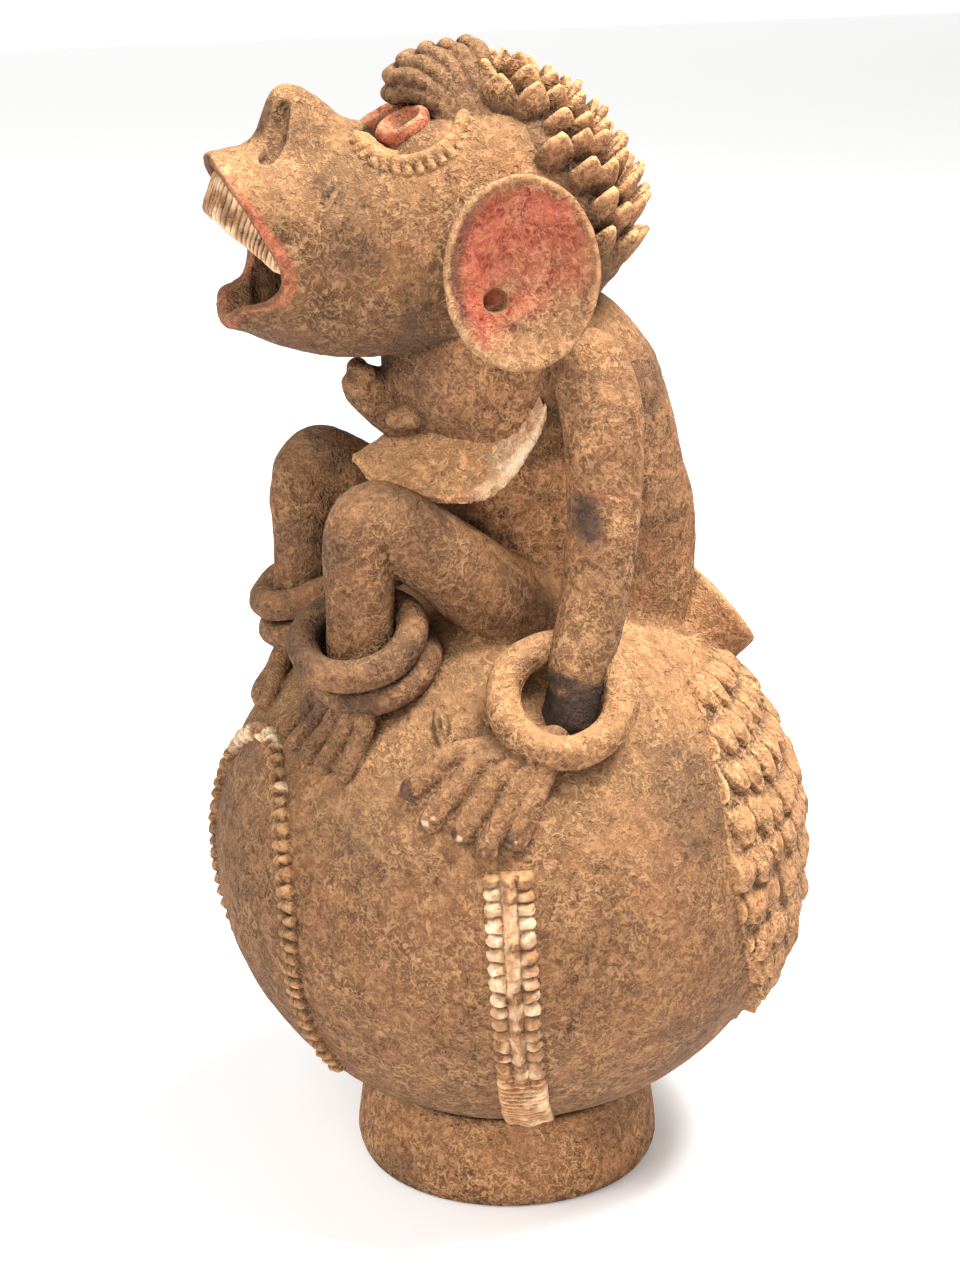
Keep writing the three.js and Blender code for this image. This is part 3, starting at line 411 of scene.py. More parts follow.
def clay_material(name, tint=(1, 1, 1), dust=0.5, fibre=1.0):
    """Fired clay: fibrous mottling, dark patches, dust on upper faces, painted shade in hollows and
    creases, worn pigment.
    """
    material = bpy.data.materials.new(name)
    material.use_nodes = True
    nodes, links = material.node_tree.nodes, material.node_tree.links
    nodes.clear()

    def node(kind, *inputs, **values):
        """A new node; sockets, numbers and colours go to its inputs, by place or by name."""
        n = nodes.new("ShaderNode" + kind)
        for key, value in [*values.items(), *enumerate(inputs)]:
            if isinstance(value, bpy.types.NodeSocket):
                links.new(value, n.inputs[key])
            elif isinstance(key, str) and hasattr(n, key):
                setattr(n, key, value)
            elif value is not None:
                n.inputs[key].default_value = value
        return n

    def maths(operation):
        return lambda a, b=None, clamp=False: node(
            "Math", a, b, operation=operation, use_clamp=clamp).outputs[0]

    times, plus, minus, most, least, magnitude = map(
        maths, ("MULTIPLY", "ADD", "SUBTRACT", "MAXIMUM", "MINIMUM", "ABSOLUTE"))

    def blend(factor, a, b):
        a, b = ((*colour, 1) if isinstance(colour, tuple) else colour for colour in (a, b))
        return node("Mix", factor, *[None] * 5, a, b, data_type="RGBA").outputs[2]

    def span(value, low, high, to_low=0.0, to_high=1.0):
        return node("MapRange", value, low, high, to_low, to_high).outputs[0]

    def noise(vector, scale, detail, roughness, distortion=0.0):
        return node("TexNoise", Vector=vector, Scale=scale, Detail=detail, Roughness=roughness,
                    Distortion=distortion).outputs[0]

    def mask(key):
        return node("Attribute", attribute_name=key).outputs["Fac"]

    def tinted(*colour):
        return tuple(c * t for c, t in zip(colour, tint))

    where = node("TexCoord").outputs["Object"]
    geometry = node("NewGeometry")
    up = node("SeparateXYZ", geometry.outputs["Normal"]).outputs[2]
    point = geometry.outputs["Pointiness"]

    # Curling fibres: a noise bent by another one, and kept only along its ridges
    bend = node("TexNoise", Vector=where, Scale=170, Detail=2).outputs["Color"]
    shift = node("VectorMath", bend, operation="SCALE", Scale=0.011).outputs[0]
    bent = node("VectorMath", where, shift, operation="ADD").outputs[0]
    coarse = span(magnitude(minus(noise(bent, 150, 1.5, 0.5), 0.5)), 0.010, 0.070, 1.0, 0.0)
    thin = span(magnitude(minus(noise(bent, 290, 1.5, 0.5), 0.47)), 0.01, 0.075, 1.0, 0.0)
    patchy = span(noise(where, 38, 3, 0.6), 0.42, 0.62)
    strands = times(most(coarse, times(thin, 0.75)), plus(times(patchy, 0.5), 0.5))
    grain = noise(where, 900, 2, 0.7)
    mottle = noise(where, 95, 5, 0.65, 0.6)
    broad = noise(where, 16, 4, 0.6, 0.8)
    patches = noise(where, 7.5, 3, 0.55, 0.4)

    dark = tinted(0.070, 0.032, 0.016)
    middle = tinted(0.222, 0.101, 0.046)
    light = tinted(0.640, 0.365, 0.180)
    colour = blend(span(mottle, 0.36, 0.62), dark, middle)
    colour = blend(span(broad, 0.42, 0.66, 0.0, 0.45), colour, middle)
    colour = blend(span(patches, 0.55, 0.70, 0.0, 0.55), colour, (0.060, 0.033, 0.021))
    colour = blend(span(patches, 0.30, 0.44, 0.45, 0.0), colour, (0.330, 0.130, 0.056))
    colour = blend(span(grain, 0.58, 0.72, 0.0, 0.35), colour, light)
    colour = blend(span(grain, 0.42, 0.30, 0.0, 0.45), colour, dark)

    # Pale dust lies on upper faces and rubs onto edges; painted shade darkens hollows, creases and
    # contacts
    dusty = times(span(up, 0.15, 0.95, 0.0, dust), span(mottle, 0.30, 0.70, 0.55, 1.0))
    colour = blend(dusty, colour, tinted(0.500, 0.285, 0.138))
    worn = times(span(point, 0.512, 0.56, 0.0, 0.75), span(mottle, 0.35, 0.6, 0.4, 1.0))
    colour = blend(worn, colour, (0.580, 0.330, 0.155))
    # Painted shade: concave edges, enclosed hollows and ambient occlusion darken the colour
    deep = most(span(point, 0.490, 0.455, 0.0, 0.85), span(mask("hollow"), 0.35, 0.92, 0.0, 0.78))
    crevice_shade = node("AmbientOcclusion", samples=4, Distance=0.009).outputs["AO"]
    deep = most(deep, span(crevice_shade, 0.26, 0.68, 0.85, 0.0))
    colour = blend(deep, colour, (0.046, 0.022, 0.012))

    # Pigments, eaten away unevenly
    eaten = plus(times(mottle, 0.6), times(broad, 0.4))

    def pigment(key, low, high, strongest):
        there = mask(key)
        left = span(minus(plus(there, 0.5), eaten), low, high, 0.0, strongest)
        return times(left, least(times(there, 3.0), 1.0), True)

    red = pigment("ochre", 0.10, 0.85, 1.0)
    red_tone = blend(span(mottle, 0.36, 0.62), (0.190, 0.028, 0.016), (0.430, 0.105, 0.056))
    colour = blend(red, colour, red_tone)
    # White paint is dimmed where the painted shade lies
    white = times(pigment("chalk", 0.38, 0.75, 0.85), minus(1.0, times(deep, 0.8)))
    white_tone = blend(span(mottle, 0.4, 0.62), (0.600, 0.330, 0.165), (0.840, 0.660, 0.450))
    colour = blend(white, colour, white_tone)
    thread = blend(red, light, (0.640, 0.250, 0.150))
    thread = blend(white, thread, (0.900, 0.740, 0.540))
    colour = blend(times(strands, 0.54 * fibre), colour, thread)
    # The soot mask darkens the colour: real soot in places, painted shade in others
    colour = blend(times(mask("soot"), 0.9, True), colour, (0.028, 0.020, 0.018))
    # The pale mask brightens the colour: a paler tone in places, painted light in others
    colour = node("VectorMath", colour, operation="SCALE", Scale=plus(mask("pale"), 1.0)).outputs[0]

    pits = span(noise(where, 230, 1, 0.5), 0.62, 0.74, 0.0, -0.9)
    height = plus(plus(times(strands, 0.55 * fibre), times(mottle, 1.1)), times(grain, 0.22))
    bump = node("Bump", Strength=0.9, Distance=0.0017, Height=plus(height, pits))
    shader = node("BsdfPrincipled", IOR=1.45, Roughness=span(mottle, 0.3, 0.7, 0.98, 0.78),
                  Normal=bump.outputs[0], **{"Specular IOR Level": 0.22, "Base Color": colour})
    node("OutputMaterial", shader.outputs[0])
    return material


CLAY = clay_material("fired_clay", tint=(0.85, 0.83, 0.79))
PALE = clay_material("pale_clay", tint=(1.12, 1.08, 1.02), dust=0.6)
DARK = clay_material("dark_clay", tint=(0.90, 0.86, 0.82), dust=0.45)
STAND = clay_material("stand_clay", tint=(1.32, 1.27, 1.20), dust=0.5)
RED = clay_material("red_ochre")
WHITE = clay_material("white_paint", tint=(1.15, 1.12, 1.08), fibre=0.4)


# Ring stand

def ring_stand():
    profile = through([[71.2, 0.0], [78.0, 0.0], [83.0, 1.2], [86.3, 8], [86.4, 17], [83.6, 36],
                       [81.0, 45.5], [78.2, 50.2], [75.5, 51.6], [72.5, 50.0], [69.5, 44.0], [70.4, 20],
                       [71.2, 0.0]], 5)
    turn = np.linspace(0, 2 * np.pi, 260, endpoint=False)
    r, z = profile[:-1, :1], profile[:-1, 1:]
    verts = np.stack([r * np.cos(turn), r * np.sin(turn), z + 0 * turn], -1).reshape(-1, 3)
    faces = quads(np.pad(np.arange(len(verts)).reshape(len(r), -1), ((0, 1), (0, 1)), "wrap"))
    normals = vertex_normals(verts, faces)
    swell = 0.7 * lumps(verts, 30, 21) + 0.4 * lumps(verts, 11, 22) + 0.25 * lumps(verts, 4.5, 23)
    swell *= ramp(0, 6, verts[:, 2])
    out = lengths(verts[:, :2])
    seat = ramp(46, 50, verts[:, 2]) * ramp(79, 76, out)
    verts = verts + normals * (swell * (1 - seat) * 0.8)[:, None]
    verts[:, 2] = np.maximum(verts[:, 2], 0.02)
    make_mesh("stand_skin", verts, faces, ["ring_stand"], STAND,
              {"soot": 0.35 * spots(verts, 45, 24, 0.25, 0.7)}, body="stand")


# Jar with its spout

SPOUT_RADIUS, SPOUT_BORE = 29, 21
SPOUT_AXIS = unit([0, math.cos(math.radians(38)), math.sin(math.radians(38))])
SPOUT_BASE = on_jar(180, math.degrees(math.acos(108 / JAR_RADIUS)))


def rod(at, axis, radius, back, ahead, edge):
    """A straight cylinder that starts back behind the point and ends ahead of it."""
    def depth(u, v, w):
        side = np.sqrt(u * u + v * v) - radius
        ends = np.maximum(w - ahead, -back - w)
        return -soft_min(-side, -ends, edge)

    return local_form(at, frame_of(axis), radius + back + ahead, depth)


def jar():
    lo, hi = [-170, -170, JAR_CENTRE_Z - 160], [170, 170, JAR_CENTRE_Z + 160]
    clay = Clay(lo, hi, fine(2.0))
    clay.add((lo, hi, jar_depth), 0)
    clay.add(rod(SPOUT_BASE, SPOUT_AXIS, SPOUT_RADIUS, 26, 23.8, 3.5), 7)
    clay.carve((lo, hi, lambda x, y, z: jar_depth(x, y, z) + JAR_WALL), 0.5)
    clay.carve(rod(SPOUT_BASE, SPOUT_AXIS, SPOUT_BORE, 45, 60, 0), 2.5)

    def masks(verts, normals):
        # Painted shade: darker towards the bottom of the jar
        low = ramp(190, 80, verts[:, 2]) * 0.16
        ahead = ramp(-60, -150, verts[:, 1]) * 0.10
        blotch = ramp(0.25, 0.75, lumps(verts, 62, 5) + 0.4 * lumps(verts, 22, 6)) * 0.30
        # Painted shade inside the jar's wall and spout
        inside = (jar_depth(*verts.T) < -4) * 0.6
        # Painted light on the top of the dome: paler, with less soot
        sunlit = ramp(JAR_CENTRE_Z + 80, JAR_CENTRE_Z + 125, verts[:, 2]) * ramp(-60, 10, verts[:, 1])
        return {"soot": (low + ahead + blotch) * (1 - 0.5 * sunlit) + inside, "pale": 0.35 * sunlit}

    nodes = ["jar_lower_bowl", "jar_upper_dome", "spout_collar"]
    sculpt("jar_skin", clay, nodes, CLAY, 0.55, masks, (48, 17, 6))


# Figure: torso, chest, throat, arms and legs

RIGHT_LEG = (0, -6.0, 4.2, 0)
TORSO = raised(JAR_TOP, [[34, -30, 42, 72], [32, 4, 42, 76], [29, 40, 47, 77], [22, 70, 54, 75],
                         [18, 100, 59, 71], [23, 130, 58, 55], [26, 150, 46, 36], [27, 162, 26, 20]], 1)
THROAT = raised(JAR_TOP, [[-7, 84, 40, 36], [-9, 90, 47, 43], [-18, 112, 54, 49], [-21, 138, 52, 48],
                          [-18, 160, 44, 42]], 1)
ARM = raised(JAR_TOP, [[66, 24, 134, 21], [77, 27, 110, 21.5], [86, 26, 68, 19.5], [93, 21, 38, 18.5],
                       [101, 14, 8, 17.5], [107, 6, -14, 16]])
LEG = raised(JAR_TOP, [[40, -4, -4, 24], [47, -28, 12, 24.5], [50, -52, 32, 23], [50, -76, 50, 22],
                       [50, -90, 56, 21], [50, -96.5, 41, 20], [50, -97, 10, 18], [50, -98, -25, 17.5],
                       [50, -99, -62, 17.5]])


def figure():
    clay = Clay([-134, -132, 276], [134, 116, JAR_TOP + 172], fine(1.6))
    clay.add(sections(TORSO), 0)
    arm = np.vstack([ARM, [*(on_jar(90, 46, 4) - (0, 0, 1)), 11]])
    for s in (1, -1):
        clay.add(chain(arm * (s, 1, 1, 1)), 4)
        clay.add(chain(LEG * (s, 1, 1, 1) + (RIGHT_LEG if s < 0 else 0)), 5)
    clay.rest_on(jar_depth, 1.0, 9.0, 13.0)
    clay.add(sections(THROAT), 3)
    clay.add(chain(raised(JAR_TOP, [[0, -46, 88, 15], [0, -62, 102, 16], [0, -75, 112, 13.5],
                                    [0, -80, 116, 12]])), 4)
    for y, z in ((-84, 124.5), (-87, 116.5), (-81.5, 108)):
        knob = [[-9, y + 2, z, 5.3], [0, y, z + 1, 5.8], [9, y + 2, z, 5.3]]
        clay.add(chain(raised(JAR_TOP, knob)), 1.2)
    for s in (1, -1):
        disc = [s * 20, -61, JAR_TOP + 103]
        clay.add(blob(disc, [13.5, 7.0, 7.0], axis=(s * 0.9, -0.3, -0.1), hint=(0, 0.3, -0.95)), 1.0)

    def masks(verts, normals):
        x, y, z = verts.T
        near_arm = (x > 55) & (y > -12)
        crack = np.abs(z - (JAR_TOP + 79 - 0.25 * (y - 10) + 3.0 * lumps(verts * (1, 1, 0), 9, 31)))
        crack = near_arm * ramp(2.3 + lumps(verts, 5, 35), 0.7, crack) * (y < 34)
        # Painted shadow of the arm on the torso
        arm_shadow = ramp(10, 3, np.hypot(y - 12, (z - (JAR_TOP + 63)) * 0.5))
        arm_shadow = arm_shadow * near_arm * (normals[:, 1] < 0.4)
        # Painted shade on the wrist inside and below the wrist ring
        wrist = ramp(JAR_TOP - 16, JAR_TOP - 24, z + 9 * lumps(verts, 8, 37)) * (np.abs(x) > 88)
        shins = ramp(-30, -60, y) * (0.12 + 0.26 * spots(verts, 30, 38, 0.25, -0.25))
        blotch = spots(verts, 42, 33, 0.3, 0.7) * 0.25
        # Painted shade on faces turned downwards
        underside_shade = ramp(0.0, -0.7, normals[:, 2]) * 0.15
        # Painted light on the shaded belly: paler, with less soot
        belly_light = ramp(1.1, 0.6, np.hypot((y - 5) / 45, (z - JAR_TOP - 52) / 44)) * (np.abs(x) < 62)
        belly_light *= ramp(JAR_TOP + 88, JAR_TOP + 76, z)
        # Painted light on the tops of the shoulders
        shoulder_light = ramp(JAR_TOP + 85, JAR_TOP + 125, z) * ramp(30, 45, np.abs(x))
        pale = 0.75 * belly_light + 0.38 * shoulder_light * ramp(40, 0, y)
        return {"soot": (0.85 * arm_shadow + wrist + shins + blotch + underside_shade) * (1 - 0.3 * belly_light),
                "chalk": crack * 0.45, "ochre": crack * 0.42, "pale": pale}

    limbs = [f"{part}_{side}" for part in ("arm", "leg") for side, _ in SIDES]
    sculpt("figure_skin", clay, ["torso", "throat", "throat_lug", *limbs], DARK, 0.6, masks,
           (30, 11, 4.5))


CAPE_WIDE, CAPE_DEEP, CAPE_Y = 65.5, 77.5, -9


def cape_rim_height(turn):
    front = 11 * np.exp(-((turn / 22) ** 2))
    climb = 51 * (np.clip(np.abs(turn) - 50, 0, None) / 48) ** 3
    return 68 + front + climb


def cape_depth(x, y, z):
    """Depth in a thin sheet that sweeps down from the throat to a sharp rim."""
    ax, ay = x / CAPE_WIDE, (y - CAPE_Y) / CAPE_DEEP
    reach = np.sqrt(ax * ax + ay * ay)
    turn = np.degrees(np.arctan2(ax, -ay))
    share = np.clip((1 - reach) / 0.45, 0, 1.1)
    inner = 100 + 26 * (turn / 98) ** 2
    rim = cape_rim_height(turn)
    top = JAR_TOP + rim + (inner - rim) * share**1.3 - 1.2 * (1 - share) ** 6
    climbing = np.clip((np.abs(turn) - 60) / 38, 0, 1)
    thick = (4.5 + 6.5 * share) * (1 + climbing)
    steep = 1 / np.sqrt(1 + (np.clip(np.abs(turn) - 50, 0, None) / 48) ** 4 * 6)
    d = np.maximum((z - top) * steep, (top - thick - z) * steep)
    d = np.maximum(d, (reach - 1) * 66)
    return np.maximum(d, (np.abs(turn) - 97.5) * 1.15)


def chest():
    clay = Clay([-72, -94, JAR_TOP + 52], [72, 30, JAR_TOP + 134], fine(1.1))
    clay.add(([-70, -92, JAR_TOP + 54], [70, 28, JAR_TOP + 130], cape_depth), 0)

    def masks(verts, normals):
        x, y, _ = verts.T
        reach = np.sqrt((x / CAPE_WIDE) ** 2 + ((y - CAPE_Y) / CAPE_DEEP) ** 2)
        ragged = 0.05 * lumps(verts, 9, 43) + 0.04 * lumps(verts, 4, 44)
        rim = ramp(0.93, 1.0, reach + ragged)
        broken = ramp(-44, -20, y) * ramp(0.70, 0.84, reach + 3 * ragged)
        # The pale mask is painted light on the cape, left off the broken patch
        return {"chalk": (0.14 + 0.22 * rim + 0.36 * broken) * (normals[:, 2] > -0.5),
                "pale": 0.25 * (1 - broken),
                "ochre": 0.26 * rim * spots(verts, 12, 45, 0.0, 0.5),
                "soot": spots(verts, 24, 42, 0.3, 0.7) * 0.12 * (1 - rim)}

    sculpt("chest_skin", clay, ["chest"], PALE, 0.8, masks, (16, 6, 3))


# Hands and feet, drawn out on the jar

def fan(s, wrist, knuckles, tips, radius):
    """Fingers or toes: each runs from the wrist over its knuckle to a blunt tip on the jar."""
    start = on_jar(s * wrist[0], wrist[1], wrist[2])
    forms = []
    for knuckle, tip in zip(knuckles, tips):
        def place(share, lift, knuckle=knuckle, tip=tip):
            azimuth, latitude = knuckle + (tip - knuckle) * share
            return on_jar(s * azimuth, latitude, lift)

        forms.append(chain([
            [*start, radius * 1.3], [*place(0, wrist[2] * 0.9), radius * 1.05],
            [*place(0.5, 3.0), radius], [*place(0.95, 2.0), radius * 0.98],
            [*place(1.03, 0.8), radius * 0.85],
        ]))
    return forms


def limb_end(name, side, s, wrist, knuckles, tips, radius):
    """A hand or foot, its fingers or toes joined by webs of clay; a hand's fingertips are chipped."""
    rng = np.random.default_rng(5)
    knuckles, tips = np.array(knuckles, float), np.array(tips, float)
    forms = fan(s, wrist, knuckles, tips, radius)
    lo = np.min([f[0] for f in forms], 0) - 10
    hi = np.max([f[1] for f in forms], 0) + 10
    clay = Clay(lo, hi, fine(0.9))
    for form in forms:
        clay.add(form, 0.4)
    for k in range(len(tips) - 1):
        root, end = (knuckles[k] + knuckles[k + 1]) / 2, (tips[k] + tips[k + 1]) / 2
        web = ((root, 1.6, 1), ((root + end) / 2, -0.8, 0.9), (root + (end - root) * 0.92, -2.4, 0.85))
        clay.add(chain([[*on_jar(s * a, l, lift), radius * r] for (a, l), lift, r in web]), 1.0)
    if name == "hand":
        for azimuth, latitude in tips:
            for _ in range(4):
                chip = on_jar(s * (azimuth + rng.uniform(-2, 2)), latitude + rng.uniform(-1.8, 0.2),
                              rng.uniform(0, 4))
                clay.add(blob(chip, rng.uniform(1.4, 3.2, 3)), 0.5)
    clay.rest_on(jar_depth, 0.8, 3.0, 5.0)

    gaps = [on_jar(s * a, l, 4.5) for t in np.linspace(0.05, 1, 12)
            for a, l in ((knuckles[1:] + knuckles[:-1]) * (1 - t) + (tips[1:] + tips[:-1]) * t) / 2]

    def masks(verts, normals):
        groove = np.min([lengths(verts - gap) for gap in gaps], 0)
        near = np.min([lengths(verts - on_jar(s * a, l, 1.5)) for a, l in tips], 0)
        chipped = ramp(8.5, 4.5, near + 2.5 * lumps(verts, 3, 53)) * spots(verts, 4, 51, -0.2, 0.1)
        # Painted shade in patches at the broken fingertips
        tip_shade = ramp(9, 5, near) * spots(verts, 6, 54, 0.25, 0.45)
        hand = name == "hand"
        # Painted shade in the grooves between fingers or toes
        return {"chalk": chipped * (0.75 if hand else 0.1), "ochre": chipped * 0.3 * hand,
                "hollow": ramp(5.0, 1.5, groove) * 0.6,
                "soot": spots(verts, 25, 52, 0.2, 0.7) * 0.3 + 0.9 * tip_shade * hand
                        + (0.10 if hand else 0.26)}

    sculpt(f"{name}_skin_{side}", clay, [f"{name}_{side}"], DARK, 0.35, masks, (9, 4.5, 2.5), 2)


HAND_WRIST = (84, 42, 3.5)
HAND_KNUCKLES = [[61.5, 39.5], [67, 38], [71.5, 36], [76, 34.5], [80, 35]]
HAND_TIPS = [[52.5, 32], [57.5, 27], [64, 25], [69.2, 23], [74.8, 24]]
FOOT_WRIST = (30, 48, 8)
FOOT_KNUCKLES = [[18.5, 43.5], [23.5, 43], [28, 42.5], [32.5, 42], [37, 42]]
FOOT_TIPS = [[12, 36], [17.5, 34.6], [23.4, 33.4], [29, 32.4], [35.5, 32.6]]
FAR_FOOT_TURN = -6.0


def leaf_pellet(side, s):
    line = [on_jar(s * a, l, 1.0) for a, l in ((53.5, 48.2), (55.8, 44.8), (57.2, 41.4))]
    clay = Clay(line[1] - 18, line[1] + 18, 0.8)
    clay.add(chain([[*p, radius] for p, radius in zip(line, (1.6, 4.4, 1.8))]), 0)
    clay.carve(chain([[*(p + unit(p - (0, 0, JAR_CENTRE_Z)) * 3.6), 1.0] for p in line]), 1.0)
    clay.rest_on(jar_depth, 0.6, 3, 5)
    sculpt(f"leaf_skin_{side}", clay, [f"leaf_patch_{side}"], CLAY, 0.4,
           lambda v, n: {"soot": 0.45 + 0.25 * lumps(v, 6, 8)}, (6, 3, 2))


# Clay rings

def clay_ring(kind, side, at, radius, tube, axis, material, seed):
    clay = Clay(at - radius - tube - 5, at + radius + tube + 5, 1.3)
    clay.add(ring(at, radius, tube, axis, 0.5, seed), 0)
    clay.carve((at - 80, at + 80, lambda x, y, z: jar_depth(x, y, z) + 2.5), 0.5)

    def masks(verts, normals):
        worn = 0.22 * spots(verts, 26, seed + 60, 0.1, 0.6)
        return {"soot": worn if material is PALE else 2 * worn + 0.24,
                "ochre": spots(verts, 18, seed + 75, 0.2, 0.7) * 0.12,
                "chalk": spots(verts, 20, seed + 70, 0.3, 0.8) * 0.15}

    sculpt(f"{kind}_skin_{side}", clay, [f"{kind}_{side}"], material, 0.35, masks, (14, 6, 3))


def all_rings():
    for seed, (side, s) in zip((1, 6), SIDES):
        clay_ring("wrist_ring", side, on_jar(s * 87, 49, 12), 30.5, 9.3, (s * 0.73, -0.13, 0.67), PALE,
                  seed)
        axis = unit([s * 0.2 + 0.14, -0.32, 0.88])
        upper = np.array([s * 51, -99, JAR_TOP - 7])
        lower = upper - axis * 16.9 + np.array([s * 3, 4, 0] if s > 0 else [-4, -1, -3])
        clay_ring("ankle_ring_upper", side, upper, 29.5, 8.7, axis, DARK, seed + 1)
        clay_ring("ankle_ring_lower", side, lower, 29.5, 7.9, axis, DARK, seed + 2)


# Head

HEAD = raised(HEAD_Z, [[-182, 3, 36, 42], [-150, 2, 41, 47], [-130, -1, 48, 53], [-100, -2, 56, 60],
                       [-70, 0, 63, 63], [-38, 6, 68, 68], [-10, 8, 71, 68], [16, 6, 68, 60],
                       [38, 3, 54, 45], [50, 2, 38, 31], [57, 1, 18, 15], [59, 1, 4, 4]], 1)
CAVITY = raised(HEAD_Z, [[-240, 1, 33, 38], [-150, 2, 32, 38], [-130, -1, 38, 43], [-100, -2, 44, 48],
                         [-70, 0, 50, 50], [-38, 6, 52, 52], [-14, 8, 30, 30], [-8, 8, 4, 4]], 1)
NOSE = raised(HEAD_Z, [[-108, 40, 27, 31], [-110.5, 56, 22, 25], [-114, 67, 15.5, 18],
                       [-117, 74, 10.5, 12.5], [-119, 79, 5, 6.5], [-120, 80.5, 1.5, 2]], 1)
NOSTRIL = raised(HEAD_Z, [[19, -135, 46, 4.5], [17, -131, 55, 6.2], [13, -127, 64, 5.2],
                          [10, -124, 70, 3.2]])
LIP_EDGE = through(raised(HEAD_Z, [[-164, 95], [-163, 48], [-149, 20], [-134, -9], [-138, -25],
                                   [-156, -36], [-160, -95]], 1), 8)
LIP_EDGE = LIP_EDGE[np.argsort(LIP_EDGE[:, 1])]
EYE_SPREAD = 24.0


def eye_axis(s):
    return unit([s * 0.10, -0.46, 0.88])


def eye_rim(s):
    return np.array([s * EYE_SPREAD, -67, HEAD_Z + 65]) - eye_axis(s) * (0 if s > 0 else 4)


HEAD_FORM = sections(HEAD, (0, 1, 0), 2.1)
head_depth = HEAD_FORM[2]
CHEEK_NICKS = (((-105.3, 39.0), (-113.1, 26.5)), ((-101.1, 36.5), (-105.0, 21.0)))


def head_surface(start, direction):
    """Where a straight line from a point outside first meets the head."""
    direction = unit(direction)
    steps = np.arange(0, 200, 0.5)
    points = np.asarray(start, float) + steps[:, None] * direction
    d = head_depth(points[:, 0], points[:, 1], points[:, 2])
    hit = np.argmax(d < 0)
    return points[hit]


def lip_edge(y, z):
    """Signed distance in front of the line where the jaws part, seen from the side."""
    return np.interp(z, LIP_EDGE[:, 1], LIP_EDGE[:, 0]) - y


def head():
    clay = Clay([-80, -192, HEAD_Z - 74], [80, 66, HEAD_Z + 92], fine(1.3))
    clay.add(HEAD_FORM, 0)
    clay.add(sections(NOSE), 8)
    for s in (1, -1):
        clay.carve(chain(NOSTRIL * (s, 1, 1, 1)), 2)
        clay.carve(blob(eye_rim(s) - eye_axis(s) * 4, [24, 24, 12], eye_axis(s)), 6)
        clay.add(blob(eye_rim(s) - eye_axis(s) * 18 + (s * 7, 3, 0), [20, 20, 12], eye_axis(s)), 4)
        for (y1, z1), (y2, z2) in CHEEK_NICKS:
            nick = []
            for k in (0, 0.5, 1):
                y, z = y1 + (y2 - y1) * k, HEAD_Z + z1 + (z2 - z1) * k
                at = head_surface([s * 120, y, z + 50], (-s, 0, -0.7))
                nick.append([at[0], y - 1.5 * math.sin(k * math.pi), at[2], (1.1, 2.2, 1.2)[int(2 * k)]])
            clay.carve(chain(nick, 3), 1.0)
    clay.carve(sections(CAVITY, (0, 1, 0)), 1)
    clay.carve(([-90, -240, HEAD_Z - 90], [90, -100, HEAD_Z + 95], lambda x, y, z: -lip_edge(y, z)), 3)

    def masks(verts, normals):
        x, y, z = verts.T
        edge = np.abs(lip_edge(y, z))
        in_mouth = (head_depth(x, y, z) < -4) & (y < -60)
        lips = ramp(8, 3, edge) * (y < -118) * (z < HEAD_Z + 52)
        cheek = ramp(55, 20, np.hypot(y + 100, z - HEAD_Z + 30)) * 0.10
        # Painted shade round the eye cups
        socket_shade = sum(ramp(30, 17, lengths(verts - eye_rim(s))) for s in (1, -1))
        blotch = spots(verts, 34, 81, 0.3, 0.75) * 0.28
        # Painted shade on faces turned downwards
        underside_shade = ramp(-0.1, -0.9, normals[:, 2]) * 0.22
        # Painted shade on the lower face
        low_face_shade = ramp(HEAD_Z + 24, HEAD_Z - 30, z) * (y < -30) * 0.14
        # Painted shade on the side of the nose
        nose_flank_shade = 0.26 * ramp(0.85, 0.3, normals[:, 2]) * ramp(-98, -108, y)
        nose_flank_shade *= ramp(HEAD_Z + 24, HEAD_Z + 36, z)
        # Painted highlight on the top of the snout
        snout_highlight = ramp(-112, -126, y) * ramp(0.2, 0.6, normals[:, 2]) * ramp(HEAD_Z + 8, HEAD_Z + 16, z)
        # Painted shade inside the mouth
        deep = in_mouth * ramp(-135, -105, y) * 0.8
        sunk = head_depth(x, y, z)
        inner_lip = lips * ramp(-2.0, -5.0, sunk)
        outer_lip = ramp(8.5, 4.0, edge + 1.5 * lumps(verts, 6, 82)) * (sunk > -2.5) * (y < -118)
        outer_lip *= ramp(HEAD_Z + 50, HEAD_Z + 38, z)
        outer_lip *= 0.55 + 0.35 * spots(verts, 14, 83, 0.2, -0.3)
        nicks = np.zeros(len(verts))
        for (y1, z1), (y2, z2) in CHEEK_NICKS:
            dy, dz, py, pz = y2 - y1, z2 - z1, y - y1, z - HEAD_Z - z1
            share = np.clip((py * dy + pz * dz) / (dy**2 + dz**2), 0, 1)
            off = np.hypot(py - share * dy, pz - share * dz)
            nicks = np.maximum(nicks, ramp(3.4, 1.2, off + 0.6 * lumps(verts, 3, 86)) * (np.abs(x) > 30))
        return {"ochre": 0.30 * inner_lip + 0.85 * outer_lip + 0.06 * in_mouth + cheek,
                "soot": deep + blotch + 1.5 * underside_shade + 0.38 * socket_shade + low_face_shade + nose_flank_shade,
                "chalk": 0.48 * nicks, "pale": 0.40 * snout_highlight}

    sculpt("head_skin", clay, ["head", "nose"], CLAY, 0.45, masks, (26, 9, 4))


TEETH_SCORES = 37


